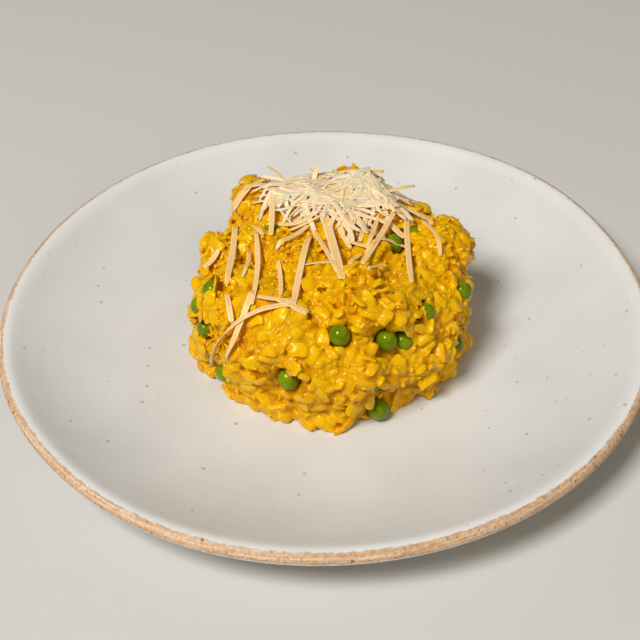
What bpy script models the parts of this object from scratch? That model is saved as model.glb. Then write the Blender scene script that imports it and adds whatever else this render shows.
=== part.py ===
"""Pea risotto on a stoneware coupe plate, with grated hard cheese on top.

The rice is a squat round heap of sticky clods, the peas sit in pockets of it, and the
cheese lies over its top in long flat shreds. Everything rests on the plate's level floor.
Units are metres, +Z is up, and the origin is the middle of the plate's foot.
Bearings are degrees counter-clockwise from +X, so 90 is the back and 270 the front.
"""
from math import cos, pi, radians, sin, sqrt, tau

import bmesh
import bpy
import numpy as np
from mathutils import Matrix, Vector
from mathutils.bvhtree import BVHTree

MM = 0.001
GAP = 0.4 * MM                      # clear space between pieces that touch
HAIR = 0.01 * MM                    # a height too small to matter

# Plate: a thrown stoneware coupe, glazed inside, with a bare clay edge.
PLATE_RADIUS = 135.0 * MM
PLATE_STEPS = 40
LIP_RADIUS = 2.9 * MM               # half the thickness of the rounded edge
LIP_CENTRE_Z = 21.8 * MM
FLOOR_Z = 6.3 * MM                  # level floor that the food rests on
FLOOR_RADIUS = 68.0 * MM
WALL_CURVE = 2.1                    # how late the wall turns up towards the edge
WALL_THICKNESS = 4.2 * MM
FOOT_INNER = 75.0 * MM
FOOT_OUTER = 81.0 * MM
FOOT_RECESS = 2.4 * MM              # height of the underside inside the foot ring
EDGE_SWELLS = (                     # hand-made unevenness: bearing, millimetres out or in
    (15, -0.7), (42, 1.1), (80, -0.9), (123, 0.6),
    (192, 0.3), (219, -0.5), (255, 0.3), (348, -0.4),
)
SWELL_WIDTH = radians(15)

# Heap of rice: a squat drum with soft corners, cut level where it meets the plate.
HEAP_X, HEAP_Y = 2.0 * MM, 3.0 * MM
HEAP_RADIUS = 52.0 * MM
HEAP_WAIST_Z = 25.0 * MM
HEAP_RISE = 26.0 * MM               # from the waist up to the top
HEAP_DROP = 34.0 * MM               # from the waist down, mostly below the cut
HEAP_SQUARENESS = 3.4
HEAP_BASE_Z = FLOOR_Z + GAP
HEAP_SUBDIVISIONS = 6               # of the ball that the heap is shaped from
HEAP_LUMPS = (                      # bearing, radius, height, width, push out (all mm)
    (129, 49, 52, 14, 10.5),        # rear left corner, a block that stands above the left shoulder
    (149, 52, 42, 10, -6.0),        # set back between that corner and the left shoulder
    (174, 50, 48, 10, 4.5),         # left shoulder
    (176, 53, 32, 13, -5.5),        # hollow side under the left shoulder
    (186, 54, 12, 10, -1.5),        # foot of the left side
    (196, 55, 15, 5, 3.0),          # grains that stick out at that foot
    (216, 54, 8, 8, -3.0),          # hollow in the foot beside the pea there
    (233, 55, 9, 8, -4.0),          # hollow in the foot, left of the front
    (244, 55, 9, 7, 5.0),           # clod at the foot, left of the front
    (254, 55, 10, 6, -3.0),         # gap beside the clump that has slid out
    (268, 54, 8, 7, 4.0),           # clump that has slid out at the foot of the front
    (284, 54, 8, 6, 2.5),           # rice beside the pea at the foot
    (301, 52, 8, 7, -3.0),          # hollow in the foot, right of the front
    (314, 53, 8, 9, 2.5),           # foot of the right side
    (355, 54, 32, 11, -2.5),        # side under the right shoulder
    (11, 54, 45, 13, 8.0),          # right shoulder, which leans out
    (77, 49, 51, 18, 7.5),          # rear crest
    (292, 34, 55, 13, 3.0),         # big clod at the front of the top
    (282, 44, 52, 10, 4.5),         # its front edge, which hangs over three peas
    (298, 45, 51, 10, 5.0),         # the same, further right
    (312, 47, 49, 8, 4.5),          # its right end, which hides half a pea
    (262, 38, 53, 8, -4.0),         # crease along the left of the big clod
    (268, 26, 55, 6, -3.5),         # pit at the top of that crease
    (188, 31, 54, 7, -4.0),         # pit between the left shoulder and the middle
    (276, 52, 42, 7, -5.0),         # undercut of the big clod, where the three peas sit
    (290, 52, 39, 7, -5.5),         # the same, further right
    (303, 52, 35, 7, -5.0),         # and its right end
    (262, 54, 32, 11, 2.5),         # front of the lower tier
    (283, 54, 27, 10, 4.0),         # and on towards the right
    (318, 52, 40, 7, -4.0),         # crease down the right of the big clod
    (236, 50, 42, 11, 2.5),         # clod at the front left of the top
    (216, 52, 32, 10, 2.0),         # and one lower down beside it
    (330, 54, 26, 10, 2.0),         # clod low on the right
)
LUMP_EDGE = 4                       # how steeply the side of a lump falls off
CLOD_COUNT = 110
CLOD_RADIUS = 8.5 * MM
CLOD_HEIGHT = 4.4 * MM
BUMP_COUNT = 1150                   # grain-sized bumps that cover the whole heap
BUMP_HEIGHT = 2.0 * MM
JITTER = 0.9                        # how unevenly clods, bumps and grains are spread
HEAP_TRIANGLES = 7000               # the small triangles that cutting leaves are thinned to this

# Rice grains: cooked and swollen. Some of them stand proud of the heap.
GRAIN_LENGTH = 8.2 * MM
GRAIN_WIDTH = 4.4 * MM
GRAIN_COUNT = 130
GRAIN_SIDES = 5
GRAIN_PROUD = 0.4 * MM              # how far a grain's middle line lies outside the core
GRAIN_TILT = 0.35                   # how far grains turn up out of the surface, in radians
GRAIN_BLUNTNESS = 0.18
OUTSIDE = 20 * MM                   # a start well outside the heap for looking in at its surface

# Peas: bearing, distance from the heap's axis, height of the centre, diameter, and how far
# the rice round it stands out past its centre (all mm).
PEAS = (
    (200, 49.5, 45.0, 8.6, 2.0), (198, 55.0, 37.5, 8.2, 0.8), (205, 55.0, 31.0, 8.4, 1.4),
    (217, 53.5, 15.0, 9.0, 1.2), (252, 54.5, 28.5, 9.2, 0.0), (289, 55.5, 11.3, 9.2, 0.0),
    (274, 47.0, 45.8, 9.1, -0.4), (296, 49.0, 40.0, 8.8, 0.6), (305, 49.0, 36.5, 8.4, 1.8),
    (318, 49.5, 45.0, 8.8, 2.0), (336, 55.0, 18.0, 9.0, 0.6), (344, 55.5, 40.0, 8.8, 1.4),
    (5, 26.5, 51.0, 9.0, 0.8), (13, 36.0, 50.0, 8.6, 2.6), (152, 26.0, 50.5, 8.6, 2.8),
    (287, 53.0, 24.0, 8.4, 2.8), (275, 32.0, 49.5, 8.4, 2.8),
    (28, 54.0, 24.0, 8.8, 0.6), (52, 53.5, 38.0, 9.2, 1.0), (70, 54.5, 14.0, 9.0, 0.4),
    (92, 54.0, 30.0, 8.6, 1.8), (124, 54.5, 19.0, 9.2, 0.6), (146, 51.0, 27.0, 8.6, 1.4),
)
PEA_SEAT = 5.5 * MM                 # how far round a pea the rice closes in on it
PEA_FACETS = 2
POCKET_ROOM = 1.2 * GAP             # clear space between a pea and the pocket it sits in
POCKET_WALL = 1.2 * MM              # depth of rice round a pea that is not thinned

# Grated cheese: a low loose pile at the rear of the top, and long flat shreds over it.
SHRED_THICKNESS = 0.9 * MM
SHRED_WIDTH = 2.3 * MM
CURVED_KNOTS = 4                    # cross-sections along a shred that is not straight
LIMP_KNOTS = 7                      # and along one that drapes over an edge
SHRED_SAMPLES = 41                  # points along a shred where its clearance is measured
SLOPES_TRIED = 177
NEARLY_STRAIGHT = 1.3 * MM          # a smaller bow than this is left out
SHRED_ROOM = 0.55 * MM              # clear space between a shred and what it lies on
SHRED_LIFT = SHRED_THICKNESS / 2 + SHRED_ROOM
SHRED_BENDS = (0.0, 5.0, -5.0, 10.0, -10.0, 18.0, 28.0)     # how it may bend down or up, one over metres
STEEPEST = 2.2                      # slope of the steepest shred
SHRED_STIFFNESS = 0.02 * MM         # how much closer it must lie for each step of bending
SHRED_LIMP = 2.2 * MM               # a shred that no such bend lays closer than this drapes limply
SHRED_SINK = 0.7 * MM               # how deep a shred presses into those it crosses
PILE_SINK = 0.3 * MM                # and into the body of the pile
PILE_X, PILE_Y = 6.0 * MM, 26.0 * MM
PILE_REACH = (31.0 * MM, 21.0 * MM) # half its length and half its depth
PILE_HEIGHT = 3.2 * MM
PILE_EDGE = 0.4 * MM                # thickness of the pile at its edge
PILE_FACET = 6.0 * MM               # about the size of its facets, which must clear the grains
STACK_LIMIT = 2.4 * MM              # how high crossing shreds build up, as they press into each other
PILE_SHREDS = 24
PILE_SPREAD = 0.92                  # how far out in the pile its own shreds are centred
PILE_SHRED_LENGTH = (17.0 * MM, 32.0 * MM)
LAID_SHREDS = (                     # shreds that lie apart: from x, y to x, y, bow, width (mm)
    (-36, 24, -38, -21, 0.8, 2.9), (-21, 44, -21, 7, 0.5, 2.7), (-24, 42, -37, 29, 0.8, 3.0),
    (-39, 33, -20, 36, 0.5, 2.8), (-27, 8, -28, -33, 1.4, 2.4), (-28, 12, -24, 6, 0.2, 2.2),
    (-30, 1, -32, -18, 0.9, 1.8), (-18, -9, -17, -29, 0.5, 2.0), (-5, 8, -12, -36, -0.4, 3.0),
    (0, 20, 7, -24, 0.4, 4.4), (-5, 14, 5, -19, 0.5, 2.4), (-30, -35, -36, -39, 0.5, 2.7),
    (-37, -25, -35, -33, 0.5, 2.0), (-44, -29, -19, -33, -2.8, 2.4), (-26, -30, -11, -35, 0.5, 2.4),
    (-18, -33, -7, -39, -0.6, 2.4), (-42, 2, -48, -6, 0.4, 2.4), (36, 33, 34, -24, -0.8, 2.7),
    (41, 15, 47, -4, 1.4, 2.2), (36, 33, 45, 13, 0.6, 2.5), (24, 36, 40, 41, 0.5, 2.4),
    (10, 38, 27, 47, 0.6, 2.4), (33, 29, 15, -17, 0.5, 2.7), (17, -8, 34, 3, 3.5, 1.9),
    (-10, -14, 5, -12, 1.9, 1.9), (17, -21, 25, -13, 0.0, 2.0), (10, -17, 15, -8, 0.3, 1.9),
    (25, 16, 33, 6, 0.4, 3.2), (-19, -2, -5, 15, -0.8, 2.4), (-20, 18, -2, 18, -3.0, 2.4),
    (18, 19, 15, -1, 0.3, 2.4), (23, 18, 18, -5, 0.4, 2.2), (6, 10, 11, -3, 0.3, 2.2),
    (9, 4, 19, -7, -0.5, 2.2),
)
FIELD_STEP = 0.75 * MM              # grid on which the height of what lies beneath is kept
ABOVE = 100 * MM                    # a height clear of everything
FIELD_HALF = 100                    # grid cells from the heap's axis to the edge of that grid


def material(name, colour, roughness, metallic=0.0):
    """A plain surface colour for one kind of piece."""
    made = bpy.data.materials.new(name)
    made.use_nodes = True
    shader = made.node_tree.nodes["Principled BSDF"]
    shader.inputs["Base Color"].default_value = (*colour, 1.0)
    shader.inputs["Roughness"].default_value = roughness
    shader.inputs["Metallic"].default_value = metallic
    return made


def place(name, mesh, finish, collection):
    """Put a finished mesh in the scene as one named piece."""
    mesh.name = name
    mesh.materials.clear()
    mesh.materials.append(finish)
    piece = bpy.data.objects.new(name, mesh)
    collection.objects.link(piece)
    return piece


def read_points(mesh):
    """All vertex positions of a mesh as an array."""
    points = np.empty(len(mesh.vertices) * 3, dtype=np.float32)
    mesh.vertices.foreach_get("co", points)
    return points.reshape(-1, 3).astype(float)


def write_points(mesh, points):
    """Put moved vertex positions back into their mesh."""
    mesh.vertices.foreach_set("co", np.asarray(points, dtype=np.float32).ravel())
    mesh.update()


def mesh_from_bmesh(name, form):
    """Turn a finished bmesh into a mesh, shaded smooth."""
    mesh = bpy.data.meshes.new(name)
    form.to_mesh(mesh)
    form.free()
    mesh.shade_smooth()
    return mesh


def applied(piece):
    """The piece's mesh with its modifiers worked in."""
    graph = bpy.context.evaluated_depsgraph_get()
    return bpy.data.meshes.new_from_object(piece.evaluated_get(graph))


# ---- plate ----------------------------------------------------------------------------

def wall_height(radius):
    """Height of the plate's upper face: level floor, then a smoothly rising wall."""
    wall_end = PLATE_RADIUS - 2 * LIP_RADIUS
    share = max(0.0, (radius - FLOOR_RADIUS) / (wall_end - FLOOR_RADIUS))
    return FLOOR_Z + (LIP_CENTRE_Z - FLOOR_Z) * share ** WALL_CURVE


def plate_profile():
    """Half section of the plate, from the middle of its floor out, over the edge and back."""
    top_radii = (68, 86, 100, 111, 120, 126)
    lip_angles = (150, 105, 60, 15, -30, -75)
    under_radii = (125, 114, 100, 88)
    section = [(0.0, FLOOR_Z)]
    section += [(r * MM, wall_height(r * MM)) for r in top_radii]
    lip_x = PLATE_RADIUS - LIP_RADIUS
    section += [(lip_x + LIP_RADIUS * cos(radians(a)), LIP_CENTRE_Z + LIP_RADIUS * sin(radians(a)))
                for a in lip_angles]
    section += [(r * MM, wall_height(r * MM) - WALL_THICKNESS) for r in under_radii]
    section += [(FOOT_OUTER, wall_height(FOOT_OUTER) - WALL_THICKNESS), (FOOT_OUTER - 0.6 * MM, 0.0),
                (FOOT_INNER + 0.6 * MM, 0.0), (FOOT_INNER, FOOT_RECESS), (0.0, FOOT_RECESS)]
    return section


def edge_swell(bearing):
    """How far the plate's outline wanders from a circle, as a share of the radius."""
    total = np.zeros_like(bearing)
    for centre, push in EDGE_SWELLS:
        turn = (bearing - radians(centre) + pi) % tau - pi
        total += push * MM * np.exp(-(turn / SWELL_WIDTH) ** 2)
    return total / PLATE_RADIUS


def make_plate(collection):
    """The plate: a half section turned round the axis, then made a little uneven."""
    form = bmesh.new()
    rim = [form.verts.new((r, 0.0, z)) for r, z in plate_profile()]
    for first, second in zip(rim, rim[1:]):
        form.edges.new((first, second))
    outline = bpy.data.objects.new("plate_outline", mesh_from_bmesh("plate_outline", form))
    collection.objects.link(outline)
    turn = outline.modifiers.new("turn", "SCREW")
    turn.axis = "Z"
    turn.angle = tau
    turn.steps = turn.render_steps = PLATE_STEPS
    turn.use_merge_vertices = True
    turn.merge_threshold = 0.00005
    mesh = applied(outline)
    bpy.data.objects.remove(outline)

    points = read_points(mesh)
    radius = np.hypot(points[:, 0], points[:, 1])
    stretch = edge_swell(np.arctan2(points[:, 1], points[:, 0])) * (radius / PLATE_RADIUS) ** 3
    points[:, :2] *= (1.0 + stretch)[:, None]
    points[:, :2] -= (points[:, :2].min(axis=0) + points[:, :2].max(axis=0)) / 2
    write_points(mesh, points)
    mesh.set_sharp_from_angle(angle=radians(50))
    glaze = material("glazed stoneware", (0.66, 0.62, 0.54), 0.35)
    return place("plate", mesh, glaze, collection)


# ---- rice -----------------------------------------------------------------------------

def around_heap(bearing, radius, height):
    """A point given by its bearing and distance from the heap's axis, and its height, in mm."""
    turn = radians(bearing)
    return np.array((HEAP_X + radius * MM * cos(turn), HEAP_Y + radius * MM * sin(turn), height * MM))


def even_directions(count, generator, jitter):
    """Directions spread evenly over a sphere on a golden spiral, each then nudged at random."""
    step = np.arange(count) + 0.5
    height = 1.0 - 2.0 * step / count
    turn = step * pi * (3.0 - sqrt(5.0))
    flat = np.sqrt(1.0 - height ** 2)
    spread = np.stack((flat * np.cos(turn), flat * np.sin(turn), height), axis=1)
    spread += generator.normal(0.0, jitter / sqrt(count), spread.shape)
    return spread / np.linalg.norm(spread, axis=1)[:, None]


def drum(directions):
    """Directions laid onto a drum with soft corners: points and outward normals."""
    flat = np.hypot(directions[:, 0], directions[:, 1])
    power = HEAP_SQUARENESS
    scale = (flat ** power + np.abs(directions[:, 2]) ** power) ** (-1.0 / power)
    half_height = np.where(directions[:, 2] > 0, HEAP_RISE, HEAP_DROP)
    size = np.stack((np.full_like(flat, HEAP_RADIUS), np.full_like(flat, HEAP_RADIUS), half_height), axis=1)
    unit = directions * scale[:, None]
    slope = np.sign(unit) * np.abs(unit) ** (power - 1.0)
    slope[:, :2] = unit[:, :2] * (np.hypot(unit[:, 0], unit[:, 1]) ** (power - 2.0))[:, None]
    normals = slope / size
    normals /= np.linalg.norm(normals, axis=1)[:, None]
    return unit * size + (HEAP_X, HEAP_Y, HEAP_WAIST_Z), normals


def clod_push(points, centres):
    """Round domes on the centres: the highest dome wins, so creases lie between clods."""
    push = np.zeros(len(points))
    for centre in centres:
        near = 1.0 - ((points - centre) ** 2).sum(axis=1) / CLOD_RADIUS ** 2
        push = np.maximum(push, CLOD_HEIGHT * np.sqrt(np.clip(near, 0.0, None)))
    return push


def bump_push(points, centres, normals, generator):
    """Domes as long and wide as grains, each lying its own way along the surface."""
    push = np.zeros(len(points))
    for centre, normal in zip(centres, normals):
        along = np.cross(normal, generator.normal(size=3))
        along /= np.linalg.norm(along)
        offset = points - centre
        lengthwise = (offset @ along) / (GRAIN_LENGTH / 2)
        crosswise = (offset @ np.cross(normal, along)) / (GRAIN_WIDTH / 2)
        depth = (offset @ normal) / GRAIN_LENGTH
        near = 1.0 - lengthwise ** 2 - crosswise ** 2 - depth ** 2
        height = BUMP_HEIGHT * generator.uniform(0.7, 1.1)
        push = np.maximum(push, height * np.sqrt(np.clip(near, 0.0, None)))
    return push


def heap_surface(directions):
    """The heap's uneven outside: drum, then the lumps that show, then clods and grain bumps.

    Round each pea the push is drawn to the level of that pea, so that each sits half sunk.
    """
    generator = np.random.default_rng(11)
    base, normals = drum(directions)
    push = np.zeros(len(base))
    for bearing, radius, height, width, reach in HEAP_LUMPS:
        distance = np.linalg.norm(base - around_heap(bearing, radius, height), axis=1)
        push += reach * MM * np.exp(-(distance / (width * MM)) ** LUMP_EDGE)
    clods = drum(even_directions(CLOD_COUNT, generator, JITTER))[0]
    push += clod_push(base, clods)
    push += bump_push(base, *drum(even_directions(BUMP_COUNT, generator, JITTER)), generator)
    for bearing, radius, height, diameter, cover in PEAS:
        centre = around_heap(bearing, radius, height)
        offset = centre - base
        nearest = np.argmin(np.linalg.norm(offset, axis=1))
        level = offset[nearest] @ normals[nearest] + cover * MM
        near = np.exp(-(np.linalg.norm(base - base[nearest], axis=1) / PEA_SEAT) ** 4)
        push += (level - push) * near
    return base + normals * push[:, None]


def pea_mesh(diameter, generator):
    """A pea about its own centre: a ball, slightly squashed and turned at random."""
    form = bmesh.new()
    bmesh.ops.create_icosphere(form, subdivisions=PEA_FACETS, radius=diameter / 2)
    squash = generator.uniform(0.92, 1.0, 3)
    bmesh.ops.scale(form, vec=squash, verts=form.verts)
    spin = Matrix.Rotation(generator.uniform(0, tau), 4, Vector(generator.normal(size=3)).normalized())
    bmesh.ops.transform(form, matrix=spin, verts=form.verts)
    return mesh_from_bmesh("pea", form)


def make_peas(collection, cutters):
    """Each pea in its place, and for each a slightly larger copy that cuts its pocket."""
    skin = material("pea skin", (0.07, 0.24, 0.012), 0.3)
    generator = np.random.default_rng(5)
    peas = []
    for number, (bearing, radius, height, diameter, _) in enumerate(PEAS, start=1):
        mesh = pea_mesh(diameter * MM, generator)
        centre = Vector(around_heap(bearing, radius, height))
        pea = place(f"pea_{number:02d}", mesh, skin, collection)
        pea.location = centre
        peas.append(pea)
        pocket = place(f"pocket_{number:02d}", mesh.copy(), skin, cutters)
        pocket.location = centre
        pocket.scale = [1.0 + 2 * POCKET_ROOM / (diameter * MM)] * 3
    return peas


def grain_mesh(length, width):
    """One swollen grain along Z, with few sides and blunt ends."""
    form = bmesh.new()
    bmesh.ops.create_uvsphere(form, u_segments=GRAIN_SIDES, v_segments=4, radius=0.5)
    for vertex in form.verts:
        blunt = 1.0 - GRAIN_BLUNTNESS * (2 * abs(vertex.co.z)) ** 4
        vertex.co = Vector((vertex.co.x * width, vertex.co.y * width, vertex.co.z * length * blunt))
    return mesh_from_bmesh("grain", form)


def lay_grains(core, collection):
    """True-size grains half sunk in the heap, clear of peas, plate and the cheese above."""
    generator = np.random.default_rng(23)
    skin = BVHTree.FromPolygons([v.co for v in core.data.vertices], [p.vertices for p in core.data.polygons])
    pea_centres = [(Vector(around_heap(b, r, h)), d * MM / 2) for b, r, h, d, _ in PEAS]
    points, normals = drum(even_directions(GRAIN_COUNT, generator, JITTER))
    for point, normal in zip(points, normals):
        length = GRAIN_LENGTH * generator.uniform(0.85, 1.12)
        width = GRAIN_WIDTH * generator.uniform(0.88, 1.1)
        turn, tilt = generator.uniform(0, tau), generator.normal(0.0, GRAIN_TILT)
        outward = Vector(normal)
        start = Vector(point) + outward * OUTSIDE
        hit = skin.ray_cast(start, -outward)[0]
        if hit is None:
            continue
        across = outward.orthogonal().normalized()
        across.rotate(Matrix.Rotation(turn, 3, outward))
        along = (across * cos(tilt) + outward * sin(tilt)).normalized()
        centre = hit + outward * GRAIN_PROUD
        reach = abs(along.z) * length / 2 + sqrt(max(0.0, 1 - along.z ** 2)) * width / 2
        if centre.z - reach < HEAP_BASE_Z:
            continue
        ends = [centre + along * share * (length - width) / 2 for share in (-1.0, -0.5, 0.0, 0.5, 1.0)]
        if any((end - pea).length < radius + width / 2 + GAP for end in ends for pea, radius in pea_centres):
            continue
        grain = place("grain", grain_mesh(length, width), core.data.materials[0], collection)
        grain.matrix_world = Matrix.Translation(centre) @ along.to_track_quat("Z", "Y").to_matrix().to_4x4()


def shells_of(form):
    """The faces of a bmesh, grouped into connected shells, the largest first.

    Shells of one size keep the order of their faces, so that ranks are the same every time.
    """
    left = set(form.faces)
    shells = []
    while left:
        queue = [left.pop()]
        shell = list(queue)
        while queue:
            for edge in queue.pop().edges:
                for face in edge.link_faces:
                    if face in left:
                        left.remove(face)
                        shell.append(face)
                        queue.append(face)
        shells.append(shell)
    return sorted(shells, key=lambda shell: (-len(shell), min(face.index for face in shell)))


def shell_mesh(mesh, rank):
    """A copy of a mesh with only one of its shells: hollows are filled, loose scraps dropped."""
    form = bmesh.new()
    form.from_mesh(mesh)
    for number, shell in enumerate(shells_of(form)):
        if number != rank:
            bmesh.ops.delete(form, geom=shell, context="FACES")
    return mesh_from_bmesh(mesh.name, form)


def boolean(piece, operation, others, solver):
    """Cut or join a whole collection into a piece, work it in, and clear the collection."""
    change = piece.modifiers.new(operation.lower(), "BOOLEAN")
    change.operation = operation
    change.operand_type = "COLLECTION"
    change.collection = others
    change.solver = solver
    bpy.context.view_layer.update()
    mesh = applied(piece)
    piece.modifiers.clear()
    piece.data = mesh
    for other in list(others.objects):
        bpy.data.objects.remove(other)


def thin(piece, triangles):
    """Merge the smallest facets of the rice, except round the peas, until so many triangles are left."""
    points = read_points(piece.data)
    near = np.zeros(len(points), dtype=bool)
    for bearing, radius, height, diameter, _ in PEAS:
        offset = points - around_heap(bearing, radius, height)
        near |= np.linalg.norm(offset, axis=1) < diameter * MM / 2 + POCKET_WALL
    kept = piece.vertex_groups.new(name="pockets")
    kept.add(np.flatnonzero(near).tolist(), 1.0, "REPLACE")
    piece.data.calc_loop_triangles()
    change = piece.modifiers.new("thin", "DECIMATE")
    change.vertex_group = kept.name
    change.invert_vertex_group = True
    change.ratio = min(1.0, triangles / len(piece.data.loop_triangles))
    mesh = applied(piece)
    piece.modifiers.clear()
    piece.data = mesh


def make_heap(collection, cutters):
    """The rice: an uneven core cut level at the plate, pea pockets, and grains fused on."""
    form = bmesh.new()
    bmesh.ops.create_icosphere(form, subdivisions=HEAP_SUBDIVISIONS, radius=1.0)
    directions = np.array([vertex.co for vertex in form.verts])
    directions /= np.linalg.norm(directions, axis=1)[:, None]
    points = heap_surface(directions)
    for vertex, point in zip(form.verts, points):
        vertex.co = point
    cut = bmesh.ops.bisect_plane(
        form, geom=form.verts[:] + form.edges[:] + form.faces[:],
        plane_co=(0, 0, HEAP_BASE_Z), plane_no=(0, 0, -1), clear_outer=True)
    edges = [item for item in cut["geom_cut"] if isinstance(item, bmesh.types.BMEdge)]
    bmesh.ops.edgeloop_fill(form, edges=edges)
    bmesh.ops.recalc_face_normals(form, faces=form.faces)
    rice = material("saffron rice", (0.85, 0.45, 0.02), 0.35)
    heap = place("risotto", mesh_from_bmesh("risotto", form), rice, collection)
    boolean(heap, "DIFFERENCE", cutters, "MANIFOLD")
    lay_grains(heap, cutters)
    boolean(heap, "UNION", cutters, "MANIFOLD")
    thin(heap, HEAP_TRIANGLES)
    heap.data = shell_mesh(heap.data, 0)
    heap.data.name = heap.name
    return heap


# ---- cheese ---------------------------------------------------------------------------

def tree_of(pieces):
    """One search tree over the faces of several pieces, in world space."""
    points, faces = [], []
    for piece in pieces:
        start = len(points)
        points += [piece.matrix_basis @ vertex.co for vertex in piece.data.vertices]
        faces += [[start + index for index in face.vertices] for face in piece.data.polygons]
    return BVHTree.FromPolygons(points, faces)


def heights_above(tree):
    """Heights of the highest surface on a square grid over the heap, the plate's floor elsewhere."""
    side = np.arange(-FIELD_HALF, FIELD_HALF + 1) * FIELD_STEP
    field = np.full((len(side), len(side)), FLOOR_Z)
    for row, y in enumerate(side + HEAP_Y):
        for column, x in enumerate(side + HEAP_X):
            hit = tree.ray_cast(Vector((x, y, ABOVE)), Vector((0, 0, -1)))[0]
            if hit is not None:
                field[row, column] = hit.z
    return field


def highest_near(field, x, y, reach):
    """The highest point of the field within a square of the given reach."""
    column, row = ((value / FIELD_STEP) + FIELD_HALF for value in (x - HEAP_X, y - HEAP_Y))
    cells = reach / FIELD_STEP
    rows = slice(max(0, int(np.floor(row - cells))), int(np.ceil(row + cells)) + 1)
    columns = slice(max(0, int(np.floor(column - cells))), int(np.ceil(column + cells)) + 1)
    return field[rows, columns].max()


def make_pile(field, finish, collection):
    """The body of the pile: a low lens whose underside follows the rice just below it."""
    form = bmesh.new()
    bmesh.ops.create_uvsphere(form, u_segments=18, v_segments=8, radius=1.0)
    for vertex in form.verts:
        side = vertex.co
        x = PILE_X + side.x * PILE_REACH[0]
        y = PILE_Y + side.y * PILE_REACH[1]
        below = highest_near(field, x, y, PILE_FACET) + GAP
        rise = max(0.0, side.z) * PILE_HEIGHT + (PILE_EDGE if side.z > -0.05 else 0.0)
        vertex.co = Vector((x, y, below + rise))
    return place("pile", mesh_from_bmesh("pile", form), finish, collection)


def shred_route(start, end, bow, count):
    """Points along a shred seen from above: an arc from start to end, bowed to its left."""
    share = np.linspace(0.0, 1.0, count)[:, None]
    across = np.array((start[1] - end[1], end[0] - start[0]))
    across = across / np.linalg.norm(across)
    return start + (end - start) * share + across * bow * 4 * share * (1 - share)


def rest(along, needed, droop):
    """Slope and middle height of a stiff shred that bends by droop and rests on two points.

    Of all the slopes that clear what lies beneath, it takes the one that brings the middle lowest.
    """
    bent = needed + droop * along ** 2 / 2
    slopes = np.linspace(-STEEPEST, STEEPEST, SLOPES_TRIED)
    middles = (bent[None, :] - slopes[:, None] * along[None, :]).max(axis=1)
    best = int(np.argmin(middles))
    return slopes[best], middles[best]


def drape(beneath, knot_count):
    """Heights of a limp shred's knots: smoothed, and raised only until straight stretches clear."""
    samples = np.linspace(0.0, knot_count - 1.0, len(beneath))
    first = np.minimum(samples.astype(int), knot_count - 2)
    share = samples - first
    knots = np.interp(np.arange(knot_count), samples, beneath)
    for _ in range(4):
        ends = knots[[0, -1]]
        knots = np.convolve(np.pad(knots, 1, "edge"), (0.25, 0.5, 0.25), "valid")
        knots[[0, -1]] = ends
        for _ in range(100):
            lack = beneath - (knots[first] * (1 - share) + knots[first + 1] * share)
            worst = int(np.argmax(lack))
            if lack[worst] < HAIR:
                break
            weights = np.array((1 - share[worst], share[worst]))
            knots[first[worst]:first[worst] + 2] += lack[worst] * weights / (weights ** 2).sum()
    return knots


def lay_over(field, start, end, bow, width):
    """The knots of a shred laid on whatever lies beneath it."""
    fine = shred_route(start, end, bow, SHRED_SAMPLES)
    half = np.linalg.norm(end - start) / 2
    beneath = np.array([highest_near(field, x, y, width / 2) for x, y in fine])
    along = np.linspace(-half, half, len(fine))
    fits = []
    for droop in SHRED_BENDS:
        slope, middle = rest(along, beneath, droop)
        clear = np.mean(middle + slope * along - droop * along ** 2 / 2 - beneath)
        fits.append((clear + SHRED_STIFFNESS * abs(droop), droop, slope, middle))
    clear, droop, slope, middle = min(fits)
    if clear > SHRED_LIMP:
        count = LIMP_KNOTS
        heights = drape(beneath, count)
        slopes = np.gradient(heights, 2 * half / (count - 1))
    else:
        count = 2 if droop == 0 and abs(bow) < NEARLY_STRAIGHT else CURVED_KNOTS
        along = np.linspace(-half, half, count)
        chord = 2 * half / (count - 1)
        heights = middle + slope * along - droop * along ** 2 / 2 + max(0.0, droop) * chord ** 2 / 8
        slopes = slope - droop * along
    route = shred_route(start, end, bow, count)
    return np.column_stack((route, heights + SHRED_LIFT * np.sqrt(1 + slopes ** 2)))


def make_shred(name, knots, width, finish, collection):
    """A flat shred along its knots: a ribbon given its thickness to both sides."""
    form = bmesh.new()
    bmesh.ops.create_grid(form, x_segments=len(knots) - 1, y_segments=1, size=1.0)
    along = np.gradient(knots, axis=0)
    across = np.cross(along, (0.0, 0.0, 1.0))
    across /= np.linalg.norm(across, axis=1)[:, None]
    for vertex in form.verts:
        knot = round((vertex.co.x + 1.0) / 2.0 * (len(knots) - 1))
        vertex.co = Vector(knots[knot] + across[knot] * vertex.co.y * width / 2)
    shred = place(name, mesh_from_bmesh(name, form), finish, collection)
    wall = shred.modifiers.new("thickness", "SOLIDIFY")
    wall.thickness = SHRED_THICKNESS
    wall.offset = 0.0
    return shred


def cover(field, limit, knots, width):
    """Raise the field where a laid shred now lies, but not past the limit."""
    for first, second in zip(knots, knots[1:]):
        steps = max(2, int(np.linalg.norm(second - first) / FIELD_STEP * 2))
        for share in np.linspace(0.0, 1.0, steps):
            x, y, z = first + (second - first) * share
            column, row = ((value / FIELD_STEP) + FIELD_HALF for value in (x - HEAP_X, y - HEAP_Y))
            cells = width / 2 / FIELD_STEP
            rows = slice(int(round(row - cells)), int(round(row + cells)) + 1)
            columns = slice(int(round(column - cells)), int(round(column + cells)) + 1)
            raised = np.maximum(field[rows, columns], z)
            field[rows, columns] = np.minimum(raised, limit[rows, columns])


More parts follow.
